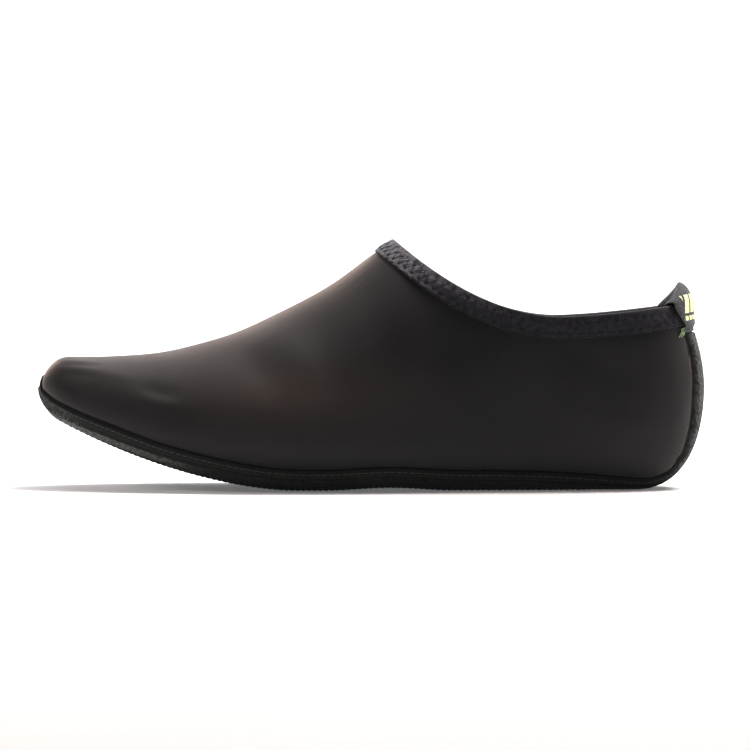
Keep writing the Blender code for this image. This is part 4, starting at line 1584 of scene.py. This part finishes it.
    def tread(self, skin: Skin, rubber: bpy.types.Material) -> None:
        """Low round dots in even rows over the underside, each a ring, a smaller ring and a top point.

        Args:
            skin: The surface to stand them on.
            rubber: Their material.
        """
        last = skin.last
        step = self.dot_pitch
        rows = np.arange(4 * MM, last.length, step * 0.866)
        x, y = np.meshgrid(rows, np.arange(-0.06, 0.06, step), indexing="ij")
        y = y + np.where(np.arange(len(x)) % 2, step / 2, 0)[:, None]
        x, y = x.ravel(), y.ravel()
        small = 0.1 * MM
        z = last.bottom(x, y)
        slope_x = (last.bottom(x + small, y) - last.bottom(x - small, y)) / (2 * small)
        slope_y = (last.bottom(x, y + small) - last.bottom(x, y - small)) / (2 * small)
        normal = np.stack([slope_x, slope_y, -np.ones(len(x))], axis=-1)
        normal /= np.linalg.norm(normal, axis=1)[:, None]
        seat = np.stack([x, y, z], axis=-1) + skin.origin
        edge = nearest(seat, skin.rim_edge())
        inside = (edge > self.dot_margin) & (z < last.feather(x / last.length)) & (normal[:, 2] < -0.35)
        seat = seat[inside] + normal[inside] * self.proud
        normal = normal[inside]
        grounded = seat[:, 2] < self.web_height
        seat[grounded, 2] = self.web_height
        normal[grounded] = (0, 0, -1)
        across = np.cross(normal, (0, 1, 0))
        across /= np.linalg.norm(across, axis=1)[:, None]
        second = np.cross(normal, across)
        sides = 8
        turn = np.linspace(0, 2 * np.pi, sides, endpoint=False)
        rings = []
        for radius, rise in self.dot_rings:
            ring = across[:, None] * np.cos(turn)[:, None] + second[:, None] * np.sin(turn)[:, None]
            rings.append(seat[:, None] + ring * radius * self.dot_radius + (normal * rise)[:, None])
        body = np.stack(rings, axis=1)
        body[..., 2] = np.maximum(body[..., 2], 0.0)
        count, levels = body.shape[:2]
        index = np.arange(count * levels * sides).reshape(count, levels, sides)
        closed = np.concatenate((index, index[:, :, :1]), axis=2)
        corners = (closed[:, :-1, :-1], closed[:, 1:, :-1], closed[:, 1:, 1:], closed[:, :-1, 1:])
        faces = [np.stack([corner.ravel() for corner in corners], axis=-1)]
        pieces = [body.reshape(-1, 3)]
        for level in (0, levels - 1):
            tips = count * levels * sides + (0 if level == 0 else count) + np.arange(count)
            tip = np.broadcast_to(tips[:, None], (count, sides))
            pair = (closed[:, level, :-1], closed[:, level, 1:])
            first, last_ring = pair if level == 0 else pair[::-1]
            faces.append(np.stack([first.ravel(), last_ring.ravel(), tip.ravel(), tip.ravel()], axis=-1))
            pieces.append(seat + normal * self.dot_rings[level][1])
        points = np.concatenate(pieces)
        shape = Shape(points, np.concatenate(faces), marks={"worn": np.full(len(points), self.ground_worn)})
        shape.piece("sole_tread", [rubber], None, "sole_rubber")


@dataclass
class RimSeam:
    """The threads of the seam between sole and upper: slanted overlock stitches and a fine top line."""

    radius: float = 0.24 * MM
    pitch: float = 1.05 * MM
    slant: float = 1.1 * MM
    low: float = 4.1 * MM
    high: float = 1.9 * MM
    line_depth: float = 1.35 * MM
    line_radius: float = 0.20 * MM
    line_stitch: float = 2.2 * MM
    line_gap: float = 0.3 * MM
    seat: float = 0.45 * MM
    steps: int = 7

    def overlock(self, band: Band) -> Shape:
        """Slanted stitches side by side across the seam, each a low arch over it.

        Args:
            band: The band round the rim.

        Returns:
            The threads.
        """
        starts = np.arange(self.pitch, band.edge[-1] - self.pitch - self.slant, self.pitch)
        share = np.linspace(0, 1, self.steps)
        travelled = starts[:, None] + share * self.slant
        depth = self.high + (self.low - self.high) * share
        rise = self.seat - 0.05 * MM - 0.30 * MM * (2 * share - 1) ** 4
        return self.laid(band, travelled, np.broadcast_to(depth, travelled.shape), rise, self.radius)

    def line(self, band: Band) -> Shape:
        """Stitches in a row at one depth: short threads that dive at both ends.

        Args:
            band: The band round the rim.

        Returns:
            The threads.
        """
        pitch = self.line_stitch + self.line_gap
        starts = np.arange(0.5 * pitch, band.edge[-1] - pitch, pitch)
        share = np.linspace(0, 1, self.steps)
        travelled = starts[:, None] + share * self.line_stitch
        rise = self.seat + self.line_radius * (np.sin(np.pi * share) ** 0.5 - 0.6)
        return self.laid(band, travelled, np.full(travelled.shape, self.line_depth), rise, self.line_radius)

    def laid(self, band: Band, travelled: Array, depth: Array, rise: Array, radius: float) -> Shape:
        """Threads laid on a band.

        Args:
            band: The band.
            travelled: Distances along the band's edge, threads by steps.
            depth: Distances from the edge.
            rise: Distances out, by step.
            radius: The threads' half width.

        Returns:
            The threads.
        """
        out = np.broadcast_to(rise, travelled.shape)
        points, normals = band.place(band.lines_at(travelled), depth, out)
        shape = (*travelled.shape, 3)
        return tubes(points.reshape(shape), normals.reshape(shape), radius)

    def build(self, skin: Skin) -> None:
        """Makes the threads round the rim.

        Args:
            skin: The surface.
        """
        rim = skin.rim_band()
        self.overlock(rim).piece("rim_overlock", [SEAM_THREAD.build()], None, "sole_rubber")
        self.line(rim).piece("rim_stitches", [LIGHT_THREAD.build()], None, "sole_rubber")


@dataclass
class CollarBinding:
    """The elastic tape folded over the collar, with a zigzag of thread along both its legs."""

    width: float = 7.5 * MM
    thickness: float = 0.8 * MM
    fold: float = 1.1 * MM
    gap: float = 0.3 * MM
    wall: float = 1.5 * MM
    thread: float = 0.19 * MM
    zigzag_pitch: float = 3.4 * MM
    dimple: float = 0.75 * MM
    dimple_depth: float = 0.34 * MM
    crown: float = 0.16 * MM
    turned_in: float = 0.72
    scallop: float = 0.10 * MM
    middle: float = 0.52

    def section(self) -> tuple[Array, Array]:
        """The folded tape's section: a leg, half an oval over the edge and the inner leg, hollow inside.

        Returns:
            Distances below the edge and distances out, round the section once.
        """
        out = self.gap + self.thickness
        inside = -self.wall - self.gap
        deep = inside - self.thickness
        turn = np.linspace(0, np.pi, 13)
        middle, half = (out + deep) / 2, (out - deep) / 2
        legs = np.linspace(1, 0, 25)
        soft = self.thickness * 0.35
        hem = self.turned_in * self.thickness * np.clip((legs - 0.87) / 0.13, 0, 1) ** 2
        crowned = out + self.crown * hump(legs, self.middle, 0.22) - hem
        outer_leg = np.stack([self.width * legs, crowned], -1)
        over = np.stack([-self.fold * np.sin(turn) ** 0.8, middle + half * np.cos(turn)], -1)
        inner_leg = np.stack([self.width * legs[::-1], deep + soft * (legs[::-1] > 0.99)], -1)
        back = np.array([(self.width, inside), (self.width / 2, inside), (-self.gap / 2, inside),
                         (-self.gap / 2, self.gap), (self.width / 2, self.gap), (self.width, self.gap)])
        whole = np.concatenate((outer_leg, over[1:], inner_leg[1:], back))
        return whole[:, 0], whole[:, 1]

    def build(self, skin: Skin) -> None:
        """Makes the tape and its threads.

        Args:
            skin: The surface.
        """
        band = skin.collar_band()
        below, out = self.section()
        count = len(band.points) - 1
        columns = np.arange(count)
        scallop = self.scallop * np.sin(2 * np.pi * band.edge[:-1] / self.zigzag_pitch)
        lines = np.repeat(columns, len(below))
        low = np.tile(below > 0.8 * self.width, count)
        outside = np.tile(out > self.gap + TINY, count)
        depth = np.tile(below, count) + np.repeat(scallop, len(below)) * low
        dimple = self.dimples(np.repeat(band.edge[:-1], len(below)), depth, band.edge[-1])
        points, _ = band.place(lines, depth, np.tile(out, count) - dimple * outside)
        index = np.arange(len(points)).reshape(count, len(below))
        index = np.concatenate((index, index[:1]))
        index = np.concatenate((index, index[:, :1]), axis=1)
        ring = np.concatenate(([0.0], np.cumsum(np.hypot(np.diff(below), np.diff(out)))))
        flat = np.stack([np.tile(ring, count), np.repeat(band.edge[:-1], len(below))], axis=-1)
        shape = Shape(points, grid_faces(index.T), flat, self.marks(skin, points, depth, dimple))
        shape.piece("collar_tape", [BINDING_TAPE.build()], "collar_binding", "binding_tape")
        reach = self.gap + self.thickness + 0.05 * MM
        threads = self.zigzag(band, reach).joined(self.zigzag(band, -self.wall - reach))
        threads.piece("collar_threads", [COLLAR_THREAD.build()], None, "binding_tape")

    def marks(self, skin: Skin, points: Array, depth: Array, dimple: Array) -> dict[str, Array]:
        """Where the tape gets a painted highlight, at throat and fold, and painted shade on its hem and
        dimples.

        Args:
            skin: The surface.
            points: The tape's points.
            depth: Their distances below the edge.
            dimple: How far the thread pulls them in.

        Returns:
            The two marks by name.
        """
        share = (points[:, 0] - skin.origin[0]) / skin.last.length
        # Painted highlight at the throat and along the fold.
        throat = 1 - smooth(share, 0.53, 0.625)
        fold = 0.4 * (1 - smooth(share, 0.60, 0.74)) * (1 - smooth(depth, 2.2 * MM, 3.0 * MM))
        # Painted shade along the hem and in the dimples.
        hem = smooth(depth, self.width - 0.6 * MM, self.width - 0.2 * MM)
        pulled = 0.75 * smooth(dimple, 0.5 * self.dimple_depth, self.dimple_depth)
        return {"painted_highlight": np.clip(throat + fold, 0, 1), "hem": np.maximum(hem, pulled)}

    def dimples(self, travelled: Array, depth: Array, total: float) -> Array:
        """How far the outer leg is pulled in: dimples at both turns of the zigzag, and a slow quilting.

        Args:
            travelled: Distances along the edge.
            depth: Distances below the edge.
            total: Length of the edge.

        Returns:
            Distances inwards.
        """
        pitch = total / round(total / self.zigzag_pitch)
        pulled = np.zeros(len(travelled))
        for turn, level in ((0.25, 0.76), (0.75, 0.28)):
            away = (travelled / pitch - turn + 0.5) % 1 - 0.5
            pulled += np.exp(-((away * pitch) ** 2 + (depth - level * self.width) ** 2) / self.dimple ** 2)
        quilt = 0.5 + 0.5 * np.sin(2 * np.pi * travelled / pitch + 5.2 * depth / self.width)
        quilted = quilt * hump(depth, self.middle * self.width, 0.3 * self.width)
        return self.dimple_depth * pulled + 0.08 * MM * quilted

    def zigzag(self, band: Band, out: float) -> Shape:
        """One thread to and fro along the tape: a triangle wave, pulled into the tape at its turns.

        Args:
            band: The band under the collar.
            out: Distance out, under 0 inside the shoe.

        Returns:
            The thread.
        """
        total = band.edge[-1]
        turns = round(total / self.zigzag_pitch)
        travelled = np.linspace(0, total, turns * 12 + 1)
        swing = 2 / np.pi * np.arcsin(np.sin(2 * np.pi * turns * travelled / total))
        depth = self.middle * self.width + 0.24 * self.width * swing
        dip = np.abs(swing) ** 6
        sign = 1 if out > 0 else -1
        points, normals = band.place(band.lines_at(travelled), depth, out - sign * 0.22 * MM * dip)
        return tubes(points[None], normals[None], self.thread)


@dataclass
class HeelTab:
    """The woven pull tab looped over the collar at the heel, with lime bars and green end stitches."""

    width: float = 33 * MM
    thickness: float = 0.7 * MM
    rise: float = 8.5 * MM
    outer_leg: float = 10.2 * MM
    inner_leg: float = 6.5 * MM
    ankle: float = 2.0 * MM
    bulge: float = 2.2 * MM
    sway: float = 2.0 * MM
    droop: float = 0.74
    droop_curve: float = 1.5
    pinch: float = 1.45
    narrow_end: float = 0.86
    wide_arch: float = 1.09
    gap: float = 0.3 * MM
    wall: float = 1.5 * MM
    tape: float = 0.8 * MM
    tape_width: float = 7.5 * MM
    steps: int = 90

    def path(self, crest: float) -> Array:
        """The tape's middle line for one crest height.

        The outer leg lies on the strip, climbs over the binding's edge at its ankle and leans out. The arch
        is half an oval, pinched towards its crest, that sways outwards; the lower its crest, the squarer.

        Args:
            crest: Height of the arch over the edge.

        Returns:
            Pairs of distance below the edge and distance out, evenly spaced.
        """
        half = self.thickness / 2
        seat = self.gap + half
        over = seat + self.tape + 2 * self.gap
        fullness = np.sqrt(crest / self.rise)
        raised = over + self.bulge * fullness
        inner = -self.wall - 2 * self.gap - self.tape - half
        turn = np.linspace(0, np.pi, 48)
        middle = (raised + inner) / 2
        across = np.sign(np.cos(turn)) * np.abs(np.cos(turn)) ** self.pinch
        swing = middle + (raised - inner) / 2 * across + self.sway * fullness ** 2 * np.sin(turn)
        arch = np.stack([(half - crest) * np.clip(np.sin(turn), 0, 1) ** fullness, swing], axis=-1)
        leg = np.linspace(self.outer_leg, 0, 30)[:-1]
        step = smooth(-leg, -self.tape_width - self.ankle, -self.tape_width + self.gap)
        rise = np.clip(1 - leg / (self.tape_width - self.gap), 0, 1)
        outer = np.stack([leg, seat + (over - seat) * step + (raised - over) * rise], axis=-1)
        last_leg = np.linspace(0, self.inner_leg, 8)[1:]
        line = np.concatenate((outer, arch, np.stack([last_leg, np.full(len(last_leg), inner)], axis=-1)))
        return at_shares(line, np.linspace(0, 1, self.steps))

    def build(self, skin: Skin) -> None:
        """Makes the tape as a closed shape, and its end stitches.

        Args:
            skin: The surface.
        """
        band = skin.collar_band()
        middle = band.edge[skin.half]
        places = np.linspace(-0.5, 0.5, 49)
        crests = self.rise * (1 - self.droop * np.abs(2 * places) ** self.droop_curve)
        half = self.thickness / 2
        rim = 1 - 0.45 * np.abs(2 * places) ** 30
        outer, inner, flat = [], [], []
        for place, crest, thick in zip(places, crests, rim):
            path = self.path(crest)
            way = np.gradient(path, axis=0)
            side = np.stack([way[:, 1], -way[:, 0]], axis=-1) / np.linalg.norm(way, axis=1)[:, None]
            spread = place * self.width * self.taper(walked(path) / walked(path)[-1])
            line = band.lines_at(middle + spread)
            for skin_line, sign in ((outer, 1), (inner, -1)):
                moved = path + side * half * thick * sign
                skin_line.append(band.place(line, moved[:, 0], moved[:, 1])[0])
            flat.append(np.stack([spread, walked(path)], axis=-1))
        index = np.arange(len(places) * self.steps).reshape(len(places), self.steps)
        flat = np.array(flat).reshape(-1, 2)
        faces = grid_faces(index.T)
        shape = walled(np.array(outer).reshape(-1, 3), np.array(inner).reshape(-1, 3), faces, flat, {})
        webbing = WEBBING.build()
        shape.piece("pull_tab", [webbing, webbing], "heel_tab", "tab_webbing")
        self.bartacks(band, middle).piece("tab_bartacks", [GREEN_THREAD.build()], None, "tab_webbing")

    def taper(self, share: Array) -> Array:
        """Width of the tape, as a factor, from its outer to its inner end: narrow first, then wide."""
        return self.narrow_end + (self.wide_arch - self.narrow_end) * smooth(share, 0.05, 0.42)

    def bartacks(self, band: Band, middle: float) -> Shape:
        """Green end stitches at the outer leg's lower corners: loose threads that cross over onto the knit.

        Args:
            band: The band under the collar.
            middle: Distance along it at the heel.

        Returns:
            The threads.
        """
        made = None
        for side in (-1, 1):
            count = 6
            across = middle + side * (self.width / 2 * self.narrow_end + np.linspace(1.7, -1.3, count) * MM)
            share = np.linspace(0, 1, 9)
            reach = side * np.array([0.4, 2.3, 0.7, 2.1, 0.9, 1.9])[:, None] * MM
            travelled = across[:, None] + reach * share
            depth = self.outer_leg - 1.9 * MM + 3.2 * MM * share + np.linspace(0.2, -0.6, count)[:, None] * MM
            out = self.gap + self.thickness + 0.10 * MM - 0.95 * MM * share ** 2
            grid = travelled.shape
            points, normals = band.place(band.lines_at(travelled), np.broadcast_to(depth, grid),
                                         np.broadcast_to(out, grid))
            threads = tubes(points.reshape(*grid, 3), normals.reshape(*grid, 3), 0.17 * MM)
            made = threads if made is None else made.joined(threads)
        return made


@dataclass
class Insole:
    """The foam footbed with its cloth top, lying in the dish of the sole."""

    thickness: float = 2.5 * MM
    floor: float = 1.9 * MM
    gap: float = 0.3 * MM
    inset: float = 2.9 * MM
    least_half: float = 0.4 * MM
    ends: tuple[float, float] = (0.036, 0.952)

    def build(self, skin: Skin) -> None:
        """Makes the pad: its plan is the inside of the dish less an inset, and both skins follow the bottom.

        Args:
            skin: The surface.
        """
        last = skin.last
        shares = (1 - np.cos(np.pi * np.linspace(0, 1, 120))) / 2
        along = self.ends[0] + (self.ends[1] - self.ends[0]) * shares
        x = along * last.length
        level = last.floor_line(along) + self.floor + self.gap + self.thickness * 0.6
        close = closing(shares / 0.10, 0.5) * closing((1 - shares) / 0.12, 0.5)
        widths = [last.half_width(side, along, level) - self.inset for side in Side]
        halves = [np.maximum(width, self.least_half) * close for width in widths]
        middle = last.centre(along, level)
        across = np.sin(np.linspace(-0.5, 0.5, 41) * np.pi)
        reach = np.where(across < 0, across * halves[0][:, None], across * halves[1][:, None])
        y = middle[:, None] + reach
        plan = np.broadcast_to(x[:, None], y.shape)
        under = last.bottom(plan, y) + self.floor + self.gap
        dip = 0.25 * MM * np.abs(across) ** 8
        over = under + self.thickness - dip
        top = np.stack([plan, y, over], axis=-1) + skin.origin
        base = np.stack([plan, y, under + dip], axis=-1) + skin.origin
        index = np.arange(y.size).reshape(y.shape)
        shape = walled(top.reshape(-1, 3), base.reshape(-1, 3), grid_faces(index)[:, ::-1],
                       top[..., :2].reshape(-1, 2), {})
        cloth = FOOTBED.build()
        pad = shape.piece("footbed", [cloth, cloth], "insole", "footbed")


@dataclass
class Studio:
    """Pale floor that curves up into a backdrop, soft lights and the camera at the photograph's angle."""

    camera_distance: float = 1.6
    camera_elevation: float = 1.5
    frame_width: float = 0.2807
    frame_middle: tuple[float, float] = (0.0025, 0.0423)
    sensor: float = 36.0
    reach: float = 4.0
    wall_distance: float = 2.2
    wall_height: float = 3.0
    curve: float = 0.8
    paper: float = 0.80
    paper_glow: float = 0.13
    sky: float = 0.08

    def floor(self) -> None:
        """Makes the floor and backdrop: a flat run, a quarter circle and a wall, carried sideways."""
        turn = np.linspace(0, np.pi / 2, 24)
        bend = self.wall_distance - self.curve
        y = np.concatenate(([-self.reach], bend + self.curve * np.sin(turn), [self.wall_distance]))
        z = np.concatenate(([0.0], self.curve * (1 - np.cos(turn)), [self.wall_height]))
        sides = np.array([-self.reach, self.reach])
        points = np.stack([np.repeat(sides, len(y)), np.tile(y, 2), np.tile(z, 2)], axis=-1)
        index = np.arange(len(points)).reshape(2, len(y))
        mesh = bpy.data.meshes.new("studio_floor")
        mesh.from_pydata(points.tolist(), [], grid_faces(index).tolist())
        mesh.shade_smooth()
        material = bpy.data.materials.new("pale_paper")
        material.use_nodes = True
        shader = material.node_tree.nodes["Principled BSDF"]
        shader.inputs["Base Color"].default_value = (self.paper, self.paper, self.paper, 1.0)
        shader.inputs["Roughness"].default_value = 0.9
        shader.inputs["Emission Color"].default_value = (1.0, 1.0, 1.0, 1.0)
        shader.inputs["Emission Strength"].default_value = self.paper_glow
        mesh.materials.append(material)
        floor = bpy.data.objects.new("studio_floor", mesh)
        bpy.context.scene.collection.objects.link(floor)

    def light(self, name: str, place: Place, size: float, power: float, colour: Colour,
              target: Place = (0.0, 0.0, 0.03)) -> None:
        """Adds a square soft light aimed at a target, the shoe unless another is given.

        Args:
            name: Its name.
            place: Where it hangs.
            size: Length of its side.
            power: Its power in watts.
            colour: Its colour.
            target: The place it points at.
        """
        data = bpy.data.lights.new(name, "AREA")
        data.shape = "SQUARE"
        data.size = size
        data.energy = power
        data.color = colour
        lamp = bpy.data.objects.new(name, data)
        lamp.location = place
        aim = Vector(target) - Vector(place)
        lamp.rotation_euler = aim.to_track_quat("-Z", "Y").to_euler()
        bpy.context.scene.collection.objects.link(lamp)

    def camera(self) -> None:
        """Adds the camera, raised by its elevation and aimed at the middle of the frame."""
        x, z = self.frame_middle
        rise = np.radians(self.camera_elevation)
        data = bpy.data.cameras.new("photo_camera")
        data.sensor_width = self.sensor
        data.lens = self.sensor * self.camera_distance / self.frame_width
        data.clip_end = 20.0
        camera = bpy.data.objects.new("photo_camera", data)
        camera.location = (x, -self.camera_distance * np.cos(rise), z + self.camera_distance * np.sin(rise))
        aim = Vector((x, 0.0, z)) - camera.location
        camera.rotation_euler = aim.to_track_quat("-Z", "Y").to_euler()
        bpy.context.scene.collection.objects.link(camera)
        bpy.context.scene.camera = camera

    def build(self) -> None:
        """Sets up the floor, the sky, the lights and the camera."""
        self.floor()
        world = bpy.data.worlds.new("studio_sky")
        world.use_nodes = True
        sky = world.node_tree.nodes["Background"]
        sky.inputs["Color"].default_value = (1.0, 1.0, 1.0, 1.0)
        sky.inputs["Strength"].default_value = self.sky
        bpy.context.scene.world = world
        bpy.context.scene.view_settings.view_transform = "Standard"
        self.light("top_softbox", (0.45, 0.34, 1.12), 0.7, 37.5, (1.0, 0.91, 0.87))
        self.light("toe_softbox", (-1.00, -0.30, 0.80), 0.5, 5.0, (1.0, 0.90, 0.86))
        self.light("heel_softbox", (1.10, 0.20, 0.35), 0.5, 2.0, (1.0, 0.95, 0.92))
        self.light("backdrop_lamp", (0.0, 0.6, 1.6), 1.2, 60.0, (1.0, 1.0, 1.0), (0.0, 2.2, 0.6))
        self.camera()


def main() -> None:
    """Builds the shoe's pieces in order, then the studio."""
    logging.basicConfig(level=logging.INFO, format="%(message)s")
    skin = Skin(Last())
    for maker in (Upper(), Sole(), RimSeam(), CollarBinding(), HeelTab(), Insole()):
        maker.build(skin)
    Studio().build()


if __name__ == "__main__":
    main()
